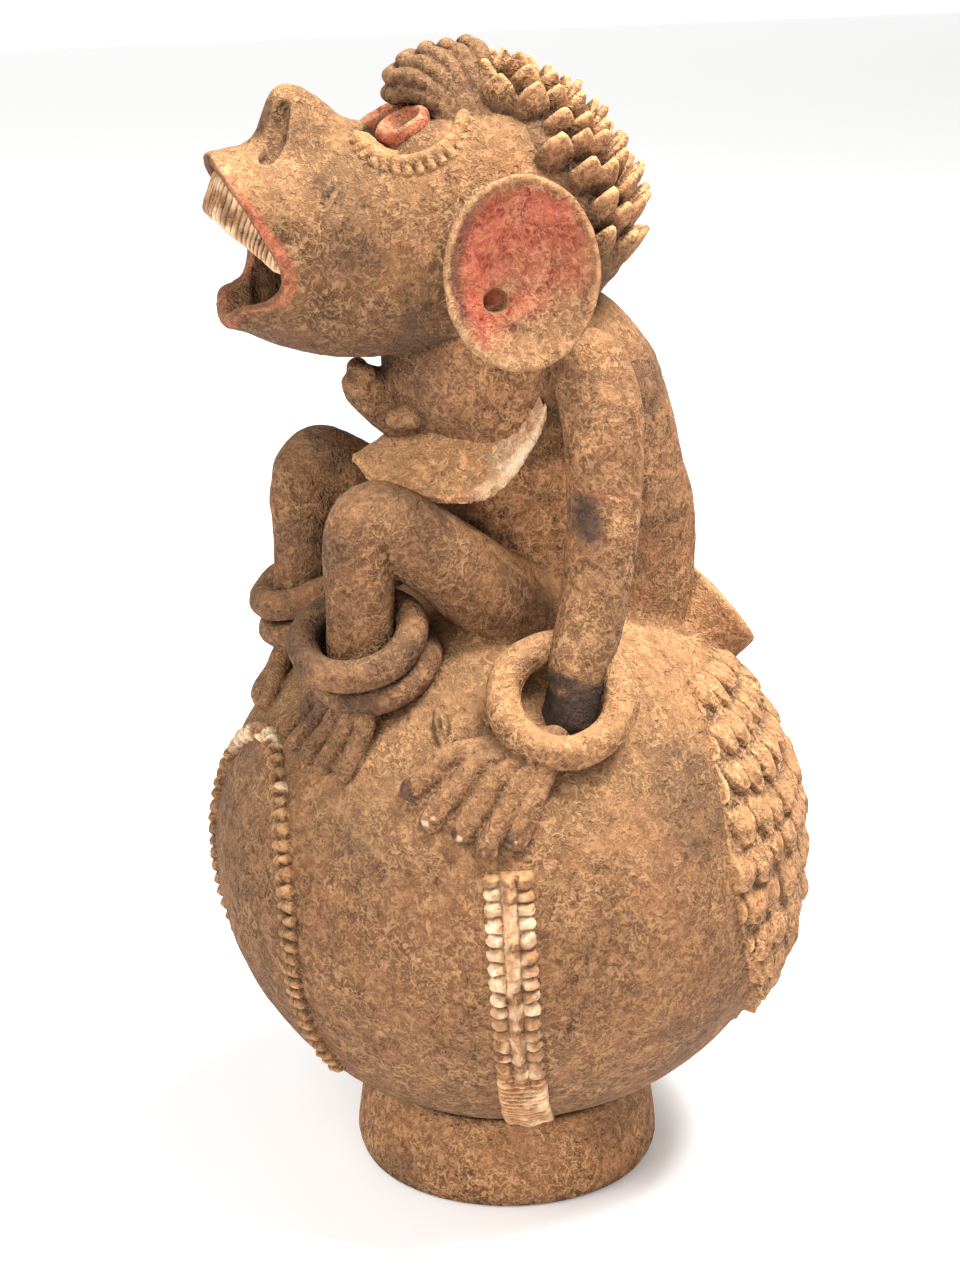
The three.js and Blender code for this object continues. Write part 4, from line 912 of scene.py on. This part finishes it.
def teeth():
    """An arched plate behind the upper lip, scored from top to bottom."""
    columns, rows = 320, 36
    arch = through(raised(HEAD_Z, [[-38, -130, -4], [-34, -143, 12], [-19, -154, 23], [0, -158, 27],
                                   [19, -154, 23], [34, -143, 12], [38, -130, -4]]), 54)
    arch = arch[np.linspace(0, len(arch) - 1, columns + 1).astype(int)]
    u, v = np.linspace(-1, 1, columns + 1), np.linspace(-1, 1, rows + 1)
    teeth_round = np.abs(np.sin(TEETH_SCORES * (u + 0.03 * np.sin(9 * u)) * np.pi / 2)) ** 0.5
    down = unit([0, -0.35, -1])
    tall = 12.5 * np.sqrt(np.clip(1.02 - 0.75 * u**4, 0.05, 1))
    outward = np.stack([u * 0.9, -np.sqrt(1.2 - 0.8 * u * u), 0.25 + 0 * u], 1)
    outward /= lengths(outward)[:, None]
    curve = np.sqrt(np.clip(1 - v**4, 0, 1))[:, None]
    plate = arch + v[:, None, None] * tall[None, :, None] * down
    front, back = (3.2 + 0.99 * teeth_round) * curve, (-3.2 + 0 * u) * curve
    verts = np.vstack([(plate + thick[..., None] * outward).reshape(-1, 3) for thick in (front, back)])
    size = (rows + 1) * (columns + 1)
    index = np.arange(size).reshape(rows + 1, -1)
    faces = quads(index)[:, [0, 3, 2, 1]]
    faces = np.vstack([faces, faces[:, ::-1] + size])
    for edge, turn in ((index[:, 0], 1), (index[:, -1], -1)):
        strip = np.stack([edge[:-1], edge[:-1] + size, edge[1:] + size, edge[1:]], -1)
        faces = np.vstack([faces, strip[:, ::turn]])
    normals = vertex_normals(verts, faces)
    verts = verts + normals * (0.45 * lumps(verts, 3.5, 91) + 0.6 * lumps(verts, 9, 92))[:, None]
    # Painted shade in the grooves between the teeth: less white and darker there
    groove = np.tile(1 - teeth_round, 2 * (rows + 1))
    make_mesh("teeth_skin", verts, faces, ["teeth_plate"], WHITE,
              {"chalk": 0.60 + 0.35 * lumps(verts, 8, 93) - 0.3 * groove,
               "soot": 0.40 * ramp(0.4, 1.0, groove) + 0.25 * spots(verts, 7, 94, 0.2, 0.7)})


def eyes():
    for side, s in SIDES:
        at, axis = eye_rim(s), eye_axis(s)
        clay = Clay(at - 34, at + 22, 0.9)

        def stalk(u, v, w):
            radius = np.interp(w, [-26, -14, -9, -4, 0], [16.0, 13.8, 13.8, 15.2, 15.4])
            return -soft_min(-(np.sqrt(u * u + v * v) - radius), -np.maximum(w, -26 - w), 6)

        clay.add(local_form(at, frame_of(axis), 34, stalk), 0)
        clay.carve(blob(at + axis * 1.5, [10.6, 10.6, 9.0], axis), 3)

        def masks(verts, normals, at=at, axis=axis):
            high = (verts - at) @ axis
            out = lengths(np.cross(verts - at, axis))
            # The soot here is painted shade deep inside the eye cup
            return {"ochre": ramp(-11, -6, high + 3 * lumps(verts, 8, 12)) * 0.8
                             * (1 - 0.5 * ramp(-3.5, -1.0, high + 2 * lumps(verts, 7, 14)))
                             * (1 - 0.5 * ramp(11, 8, out)),
                    "chalk": 0.2 * ramp(-9, -13, high + 2 * lumps(verts, 5, 13)),
                    "soot": ramp(9, 4, out) * ramp(-3, -6, high) * 0.55}

        sculpt(f"eye_skin_{side}", clay, [f"eye_{side}"], RED, 0.35, masks, (8, 4, 2))


LASH_TEETH = 15
LASH_ARC = [[23, -90, 58], [32, -87, 54], [38, -83, 51], [42, -78, 49], [45, -72, 48.5], [47, -63, 49.5],
            [47.5, -54, 53], [46, -46, 57], [41, -40, 62], [35, -36, 66]]


def lashes():
    """A toothed ridge round the lower and outer side of each eye, its teeth pressed outwards."""
    for side, s in SIDES:
        arc = through(LASH_ARC, 8) * (s, 1, 1) + (0, 0, HEAD_Z)
        far = np.concatenate([[0], np.cumsum(lengths(np.diff(arc, axis=0)))])
        middle, axis = eye_rim(s), eye_axis(s)
        ridge, forms = [], []
        for share in np.linspace(0, 1, 2 * LASH_TEETH + 1):
            at = np.array([np.interp(share * far[-1], far, arc[:, k]) for k in range(3)])
            at = head_surface(at + axis * 60, -axis)
            ridge.append([*at, 3.9])
        for k in range(1, 2 * LASH_TEETH, 2):
            at = np.array(ridge[k][:3])
            size = 1.0 if k < 1.5 * LASH_TEETH else 0.75
            out = unit(at - middle - axis * ((at - middle) @ axis))
            end = head_surface(at + out * 5.2 * size + axis * 60, -axis)
            forms.append(chain([[*(at + axis * 0.8), 3.0 * size], [*end, 2.3 * size]], 2))
        rows = np.array(ridge)
        clay = Clay(rows[:, :3].min(0) - 16, rows[:, :3].max(0) + 16, 0.8)
        clay.add(chain(ridge, 2), 0)
        for form in forms:
            clay.add(form, 0.6)
        clay.rest_on(head_depth, 0.8, 2.5, 4)
        sculpt(f"lash_skin_{side}", clay, [f"lashes_{side}"], PALE, 0.35,
               lambda v, n: {"chalk": 0.12 + 0.2 * lumps(v, 7, 14)}, (7, 3.5, 2))


# Ears

EAR_WIDE, EAR_TALL = 40.5, 50.5


def ears():
    for side, s in SIDES:
        axis = unit([s * 0.97, -0.19, 0.10])
        up = unit(np.array([0, 0, 1]) - axis[2] * axis)
        ahead = np.cross(up, axis) * s
        at = np.array([s * 74, -17, HEAD_Z - 8])
        clay = Clay(at - (44, 60, 66), at + (44, 60, 66), 1.2)

        def dish(u, v, w):
            r = np.sqrt((u / EAR_WIDE) ** 2 + (v / EAR_TALL) ** 2)
            middle = np.interp(r, [0, 0.35, 0.62, 0.85, 0.96, 1.0], [-4.5, -3.2, -0.5, 5.5, 9.5, 10.0])
            thick = np.interp(r, [0, 0.5, 0.8, 0.93, 1.0], [4.6, 4.3, 4.2, 4.4, 3.6])
            shell = np.abs(w - middle) - thick
            return -soft_min(-shell * 0.85, -(r - 1) * 44, 5)

        clay.add(local_form(at, (ahead, up, axis), 56, dish), 0)
        clay.carve(rod(at + np.array([0, -13, -14]), axis, 7, 30, 30, 0), 2)
        clay.carve(blob(at + axis * 3 + up * 16 + ahead * (-12), [4, 3, 3], axis), 2)
        clay.rest_on(head_depth, 0.8, 12, 9)

        def masks(verts, normals, at=at, axis=axis, up=up, ahead=ahead):
            d = verts - at
            high, fore = (d @ up) / EAR_TALL, (d @ ahead) / EAR_WIDE
            r = np.sqrt(fore**2 + high**2)
            face = ramp(0.2, 0.6, normals @ axis) * ramp(0.98, 0.80, r + 0.06 * lumps(verts, 10, 104))
            over = np.exp(-((fore + 0.05) / 0.80) ** 2 - ((high - 0.55) / 0.30) ** 2)
            behind = np.exp(-((fore + 0.55) / 0.26) ** 2 - ((high + 0.05) / 0.70) ** 2)
            strong = np.maximum(over, 0.9 * behind)
            worn = 0.50 + 0.45 * strong + 0.20 * lumps(verts, 12, 101) + 0.12 * lumps(verts, 5, 102)
            bare = ramp(0.08, 0.60, 0.6 * fore - 0.8 * high + 0.25 * lumps(verts, 14, 103))
            rim = ramp(0.84, 0.96, r)
            # Darker on the inner slope of the rim towards the back, more so higher up
            back_rim_dark = ramp(0.72, 0.80, r) * ramp(0.94, 0.86, r) * ramp(-0.35, -0.7, fore)
            return {"ochre": face * worn * (1 - 0.7 * bare) + 0.22 * rim * ramp(0.1, 0.6, fore),
                    "chalk": 0.30 * rim + 0.30 * bare * face,
                    "soot": spots(verts, 16, 103, 0.3, 0.7) * 0.25 * face
                            + 0.55 * back_rim_dark * ramp(-0.9, 0.1, high)}

        sculpt(f"ear_skin_{side}", clay, [f"ear_{side}"], RED, 0.4, masks, (16, 7, 3.5))


# Hair

def over_skull(tilt, lean):
    t, l = math.radians(tilt), math.radians(lean)
    return np.array([math.sin(l), math.cos(l) * math.sin(t), math.cos(l) * math.cos(t)])


SKULL = np.array([0, -8, HEAD_Z + 6])


def petal(root, axis, hint, length, wide, thick):
    """A broad pointed leaf of clay, standing on its root."""
    def depth(u, v, w):
        share = np.clip((w + 5) / (length + 5), 0, 1.2)
        profile = np.clip(1 - share**3.2, 0, 1) ** 0.8 * (0.80 + 0.75 * share * (1 - share)) + 0.04
        leaf = v + 0.16 * u * u / wide - 0.06 * w
        across, over = u / (wide * profile), leaf / (thick * (0.4 + 0.6 * profile))
        d = (np.abs(across) ** 2.4 + np.abs(over) ** 2.4) ** (1 / 2.4) - 1
        return np.maximum(d * thick * 0.8, np.maximum(w - length, -7 - w))

    return local_form(root, frame_of(axis, hint), length + 8, depth)


def hair():
    rng = np.random.default_rng(11)
    clay = Clay([-80, -30, HEAD_Z - 44], [80, 84, HEAD_Z + 98], fine(1.1))

    def layer(x, y, z):
        front = -((y + 14) * 0.981 + (z - HEAD_Z - 94) * 0.196)
        below = -(0.342 * (y - 55) + 0.94 * (z - HEAD_Z + 30))
        side = np.abs(x) - 66
        edge = np.maximum(np.maximum(front, below), side)
        return np.maximum(head_depth(x, y, z) - 3.5 * ramp(0, 9, -edge), edge)

    clay.add(([-80, -40, HEAD_Z - 50], [80, 84, HEAD_Z + 98], layer), 0)
    for row in range(9):
        tilt = -9 + row * 14.2
        first = 7.3 if row % 2 else 0
        for lean in np.arange(first, min(60, 36 + 14 * row), 14.6):
            for sign in ((1,) if lean == 0 else (1, -1)):
                out = over_skull(tilt + rng.uniform(-1.5, 1.5), sign * lean + rng.uniform(-1.5, 1.5))
                root = head_surface(SKULL + out * 110, -out)
                up = np.array([0, 0.16, 1.0]) * (0.72 + 0.9 * abs(out[0]))
                axis = unit(out * 0.62 + up)
                length = 21.5 + rng.uniform(-2, 1.5)
                wide = 10.4 + rng.uniform(-0.9, 0.7)
                clay.add(petal(root + out * 2.0 - axis * 2.5, axis, out, length, wide, 3.6), 0.4)

    def masks(verts, normals):
        depth = head_depth(*verts.T)
        # Painted shade at the petals' roots near the head; painted light on their outer parts
        return {"soot": ramp(7, 3, depth) * 0.40 + 0.15 * lumps(verts, 20, 111),
                "chalk": ramp(10, 15, depth) * 0.25, "pale": ramp(7, 14, depth) * 0.55}

    sculpt("hair_skin", clay, ["hair_cap"], CLAY, 0.35, masks, (10, 5, 2.5), 2)


def crest():
    clay = Clay([-56, -80, HEAD_Z + 44], [56, 0, HEAD_Z + 108], fine(1.0))
    tips = [[-64, 78], [-63, 87], [-56, 94], [-45, 98], [-33, 100], [-21, 101]]
    for i, (y, z) in enumerate(tips):
        for s in (1, -1):
            clay.add(chain([
                [s * 35, -39 + 3.2 * i, HEAD_Z + 61 + 0.9 * i, 3.4],
                [s * 26, (y * 0.3 - 35 * 0.7) + 2.0 * i, HEAD_Z + 68 + (z - 74) * 0.34, 4.6],
                [s * 15, (y * 0.72 - 35 * 0.28) + 0.8 * i, HEAD_Z + 72 + (z - 74) * 0.80, 5.2],
                [s * 4, y, HEAD_Z + z - 5.2, 5.0],
            ]), 0.8)
    clay.rest_on(head_depth, 0.8, 2.5, 3)

    def masks(verts, normals):
        return {"chalk": 0.12 + 0.2 * lumps(verts, 12, 121), "soot": 0.22 + 0.2 * lumps(verts, 16, 122)}

    sculpt("crest_skin", clay, ["crest_locks"], CLAY, 0.35, masks, (10, 5, 2.5))


# Applied bands on the jar

def band_mesh(name, position, size_u, size_v, nodes, material, masks):
    """A sheet of points laid over the jar; position gives the points for two grids of shares."""
    u, v = np.meshgrid(np.linspace(0, 1, size_u + 1), np.linspace(0, 1, size_v + 1))
    verts, layers = position(u.ravel(), v.ravel())
    faces = quads(np.arange(len(verts)).reshape(size_v + 1, -1))
    middle = faces[len(faces) // 2, 0]
    if vertex_normals(verts, faces)[middle] @ (verts[middle] - (0, 0, JAR_CENTRE_Z)) < 0:
        faces = faces[:, ::-1]
    make_mesh(name, verts, faces, nodes, material, {**layers, **masks(verts)})


def fillet(name, points, width, relief, pitch, rolls, nodes, material, masks, seed):
    """Clay rolls along a path on the jar, pinched at every notch into overlapping scallops."""
    path = through([[a, l] for a, l in points], 40)
    steps = np.hypot(np.diff(path[:, 0]) * np.cos(np.radians(path[:-1, 1])), np.diff(path[:, 1]))
    far = np.concatenate([[0], np.cumsum(steps)]) * math.pi / 180 * JAR_RADIUS
    total = far[-1]

    def course(s):
        s = np.clip(s, 0, total)
        return np.interp(s, far, path[:, 0]), np.interp(s, far, path[:, 1])

    def position(u, v):
        s = v * total
        azimuth, latitude = course(s)
        ahead, behind = course(s + 1.5), course(s - 1.5)
        stretch = np.cos(np.radians(latitude))
        da, dl = (ahead[0] - behind[0]) * stretch, ahead[1] - behind[1]
        size = np.hypot(da, dl)
        da, dl = da / size, dl / size
        across = 2 * u - 1
        flat = np.stack([across * width / 2, s, 0 * s], 1)
        side = np.stack([9.0 * np.sign(across), s, 0 * s], 1)
        jitter = 0.20 * lumps(side, pitch * 1.2, seed)
        if rolls == 2:
            across = across + 0.10 * lumps(flat, 6, seed + 3)
            upper = ramp(0.70, 0.60, v)
            tier = 0.20 * np.cos(2 * np.pi * across) + 0.12 * lumps(flat, 6, seed + 4)
            low_saw = (1.75 * s / pitch + tier) % 1.0
            saw = (s / pitch + jitter + 0.12 * lumps(flat, 5, seed + 5)) % 1.0
            bead = np.clip(np.sin(np.pi * saw**1.2), 0, 1) ** 0.7
            spine = np.exp(-(across / 0.26) ** 2) * (0.72 + 0.28 * bead)
            lobes = np.exp(-np.abs((np.abs(across) - 0.64) / 0.36) ** 3)
            lobes = lobes * bead * (0.85 + 0.3 * lumps(side, 7, seed + 6))
            shingle = 0.30 + 0.70 * ramp(0, 0.75, low_saw) * ramp(1.0, 0.90, low_saw)
            shingle = shingle * (0.86 + 0.14 * np.cos(2 * np.pi * across))
            lobe = shingle * (1 - upper) + np.maximum(spine, lobes) * upper
            edge = 0.97 - upper * 0.16 * (1 - bead)
        else:
            saw = (s / pitch + 0.16 * across**2 + jitter) % 1.0
            lobe = np.clip(np.sin(np.pi * saw**1.3), 0, 1) ** 0.6
            edge = 0.96 - 0.34 * (1 - lobe)
        reach = np.abs(across) / edge
        body = np.sqrt(np.clip(1 - reach**4, 0, 1))
        height = relief * body * (0.14 + 0.86 * lobe) * (ramp(0, 5, s) * ramp(0, 5, total - s))
        height = np.where(reach > 0.995, -1.6, height)
        off = across * width / 2 / JAR_RADIUS * 180 / math.pi
        verts = on_jar(azimuth - dl * off / stretch, latitude + da * off, height).T
        grit = 0.30 * lumps(verts, 3.0, seed + 1) + 0.5 * lumps(verts, 8, seed + 2)
        verts = verts + (jar_normal(azimuth, latitude) * grit * (height > 0)).T
        # Painted shade in the low ground between the lobes
        return verts, {"hollow": ramp(0.50, 0.10, lobe) * 0.95 * (height > 0)}

    band_mesh(name, position, 26 * rolls, int(total / 0.8), nodes, material, masks)


def scale_band():
    """Rows of overlapping scales pressed onto the jar's back, each fullest near its lower lip."""
    tall, wide = 23.0, 18.5
    top, drop_angle = 49, 92

    def position(u, v):
        latitude = top - drop_angle * v
        half = 60.5 - np.where(latitude > 10, 0.0095, 0.014) * (latitude - 10) ** 2
        azimuth = 180 + half * (2 * u - 1)
        across = np.radians(azimuth - 180) * JAR_RADIUS * np.cos(np.radians(latitude * 0.35))
        down = np.radians(top - latitude) * 158
        flat = np.stack([across, down, 0 * down], 1)
        down = down + 2.4 * lumps(flat, 40, 131) + 1.0 * lumps(flat, 9, 136)
        across = across + 1.2 * lumps(flat, 10, 137)
        height = np.full(len(u), 1.2)
        for shift in (0, 1):
            row = np.floor(down / tall) - shift
            near = down - row * tall
            offset = (row % 2) * 0.5
            column = np.floor(across / wide - offset + 0.5)
            centre = (column + offset) * wide
            cell = column.astype(np.int64), row.astype(np.int64)
            chance, chance_two = lattice(*cell, 0, 5), lattice(*cell, 1, 6)
            side = (across - centre - chance * 1.4) / (wide * (0.52 + 0.05 * chance_two))
            length = tall * (1.14 + 0.12 * chance_two)
            lip = length * (1 - 0.36 * np.abs(side) ** 2.2)
            share = near / lip
            rise = 0.8 + ramp(0.05, 0.72, share) * (5.2 + 0.8 * chance)
            crown = 0.22 + 0.78 * np.clip(1 - np.abs(side) ** 2.6, 0, 1) ** 0.6
            drop = ramp(1.0, 0.90, share) * (0.8 + 0.2 * ramp(1.0, 0.6, share))
            height = np.maximum(height, (0.5 + rise * crown) * drop)
        fuller = 2.6 * ramp(5, -25, latitude)
        height = height + fuller
        border = np.minimum(u, 1 - u) * 2 * half * math.pi / 180 * 150
        border = np.minimum(border, np.minimum(v, 1 - v) * 250)
        fade = ramp(0, 3.5, border)
        height = height * fade - 2.0 * (1 - ramp(0, 2.5, border))
        grain = np.stack([across, down, 0 * down], 1)
        height = height + (0.30 * lumps(grain, 4, 132) + 0.4 * lumps(grain, 11, 133)) * fade
        height = np.minimum(height, 7.6 + fuller)
        verts = on_jar(azimuth, latitude, height).T
        hidden = lengths(np.cross(verts - SPOUT_BASE, SPOUT_AXIS)) < 27
        verts[hidden] = on_jar(azimuth[hidden], latitude[hidden], -4).T
        # Painted shade in the low ground between the scales
        return verts, {"hollow": ramp(4.0, 1.4, height - fuller) * 0.95 * fade}

    def masks(verts):
        return {"chalk": 0.10 + 0.15 * lumps(verts, 20, 134),
                "soot": spots(verts, 30, 135, 0.3, 0.7) * 0.2,
                "ochre": 0.14 * spots(verts, 12, 138, 0.15, 0.6), "pale": 0.5 + 0 * verts[:, 2]}

    band_mesh("scale_skin", position, fine(420), fine(320),
              ["back_scale_band"], CLAY, masks)


def bands():
    def strip_masks(verts):
        top = ramp(120, 190, verts[:, 2])
        earthy = ramp(on_jar(74, 12)[2], on_jar(74, 19)[2], verts[:, 2])
        patchy = 0.40 * lumps(verts, 9, 141) + 0.22 * lumps(verts, 4, 144)
        return {"chalk": np.clip(0.30 + 0.26 * top + patchy, 0, 1) * (1 - 0.8 * earthy),
                "ochre": 0.22 * spots(verts, 9, 142, 0.1, 0.6)}

    def loop_masks(verts):
        arch = ramp(JAR_CENTRE_Z + 52, JAR_CENTRE_Z + 76, verts[:, 2])
        return {"chalk": 0.85 * arch * spots(verts, 9, 145, -0.35, 0.1)
                         + 0.16 + 0.30 * lumps(verts, 10, 143),
                "ochre": 0.16 * spots(verts, 16, 146, 0.0, 0.5) * (1 - arch)}

    for side, s in SIDES:
        points = [[73, 18], [74, 0], [75.5, -24], [78, -45], [81, -56]]
        fillet(f"strip_skin_{side}", [[s * a, l] for a, l in points], 28, 6.0, 8.6, 2,
               [f"side_strip_{side}"], WHITE, strip_masks, 150 + s)
    loop = [[27, -40], [27.5, -20], [28.5, 0], [25, 14], [17, 27], [5, 32], [-8, 27], [-15, 14], [-18, 0],
            [-18, -20], [-18, -38]]
    fillet("loop_skin", loop, 12, 5.6, 8.2, 1, ["front_loop"], CLAY, loop_masks, 160)


# Studio

FOCAL_PIXELS = 3035.0
PHOTO_TALL_PIXELS = 1280.0
SENSOR_MM = 36.0
CAMERA_AT = (1.52626, -0.46663, 0.85929)
CAMERA_TURN, CAMERA_PITCH = 73.5663, 19


def plain_sheet(name, corners, tone, glow):
    """A flat floor or backdrop, which isn't part of the object."""
    material = bpy.data.materials.new(f"{name}_white")
    material.use_nodes = True
    sockets = material.node_tree.nodes["Principled BSDF"].inputs
    for key, value in (("Base Color", (tone, tone, tone, 1)), ("Roughness", 0.9),
                       ("Specular IOR Level", 0.1), ("Emission Color", (1, 1, 1, 1)),
                       ("Emission Strength", glow)):
        sockets[key].default_value = value
    mesh = bpy.data.meshes.new(name)
    mesh.from_pydata(corners, [], [(0, 1, 2, 3)])
    mesh.materials.append(material)
    placed(name, mesh)


def studio():
    scene = bpy.context.scene
    plain_sheet("floor", [(-8, -8, 0), (8, -8, 0), (8, 8, 0), (-8, 8, 0)], 0.92, 0.20)
    wall = [(-4.6, -3.4, -2), (-4.6, 5.4, -2), (-4.6, 5.4, 4), (-4.6, -3.4, 4)]
    plain_sheet("backdrop", wall, 0.1, 0.97)

    scene.world = bpy.data.worlds.new("studio")
    scene.world.use_nodes = True
    sky = scene.world.node_tree.nodes["Background"].inputs
    sky["Color"].default_value, sky["Strength"].default_value = (1, 1, 1, 1), 0.31

    def aim(thing, direction):
        thing.rotation_euler = direction.to_track_quat("-Z", "Y").to_euler()

    def softbox(name, at, target, size, watts, colour=(1, 1, 1)):
        light = bpy.data.lights.new(name, "AREA")
        light.energy, light.size, light.color = watts, size, colour
        lamp = placed(name, light)
        lamp.location = at
        aim(lamp, Vector(target) - Vector(at))

    softbox("key", (0.45, 0.70, 2.4), (0, 0, 0.35), 0.9, 132, (1, 0.985, 0.96))
    softbox("side", (0.9, -1.7, 2.0), (0, 0, 0.40), 1.5, 50, (1, 0.99, 0.97))
    softbox("fill", (1.7, -1.3, 0.75), (0, 0, 0.40), 1.4, 14)

    camera = placed("camera", bpy.data.cameras.new("camera"))
    camera.data.sensor_fit = "AUTO"
    camera.data.sensor_width = SENSOR_MM
    camera.data.lens = FOCAL_PIXELS / PHOTO_TALL_PIXELS * SENSOR_MM
    camera.data.clip_start = 0.05
    camera.location = CAMERA_AT
    turn, pitch = math.radians(CAMERA_TURN), math.radians(CAMERA_PITCH)
    flat = math.cos(pitch)
    aim(camera, -Vector((math.sin(turn) * flat, -math.cos(turn) * flat, math.sin(pitch))))
    scene.camera = camera
    scene.view_settings.view_transform = "Standard"
    scene.view_settings.look = "None"


ring_stand()
jar()
figure()
chest()
for side, s in SIDES:
    turn = FAR_FOOT_TURN if s < 0 else 0
    limb_end("hand", side, s, HAND_WRIST, HAND_KNUCKLES, HAND_TIPS, 6.7)
    limb_end("foot", side, s, FOOT_WRIST, [[a + turn / 2, l] for a, l in FOOT_KNUCKLES],
             [[a + turn, l] for a, l in FOOT_TIPS], 5.5)
    leaf_pellet(side, s)
all_rings()
head()
teeth()
eyes()
lashes()
ears()
hair()
crest()
bands()
scale_band()
studio()
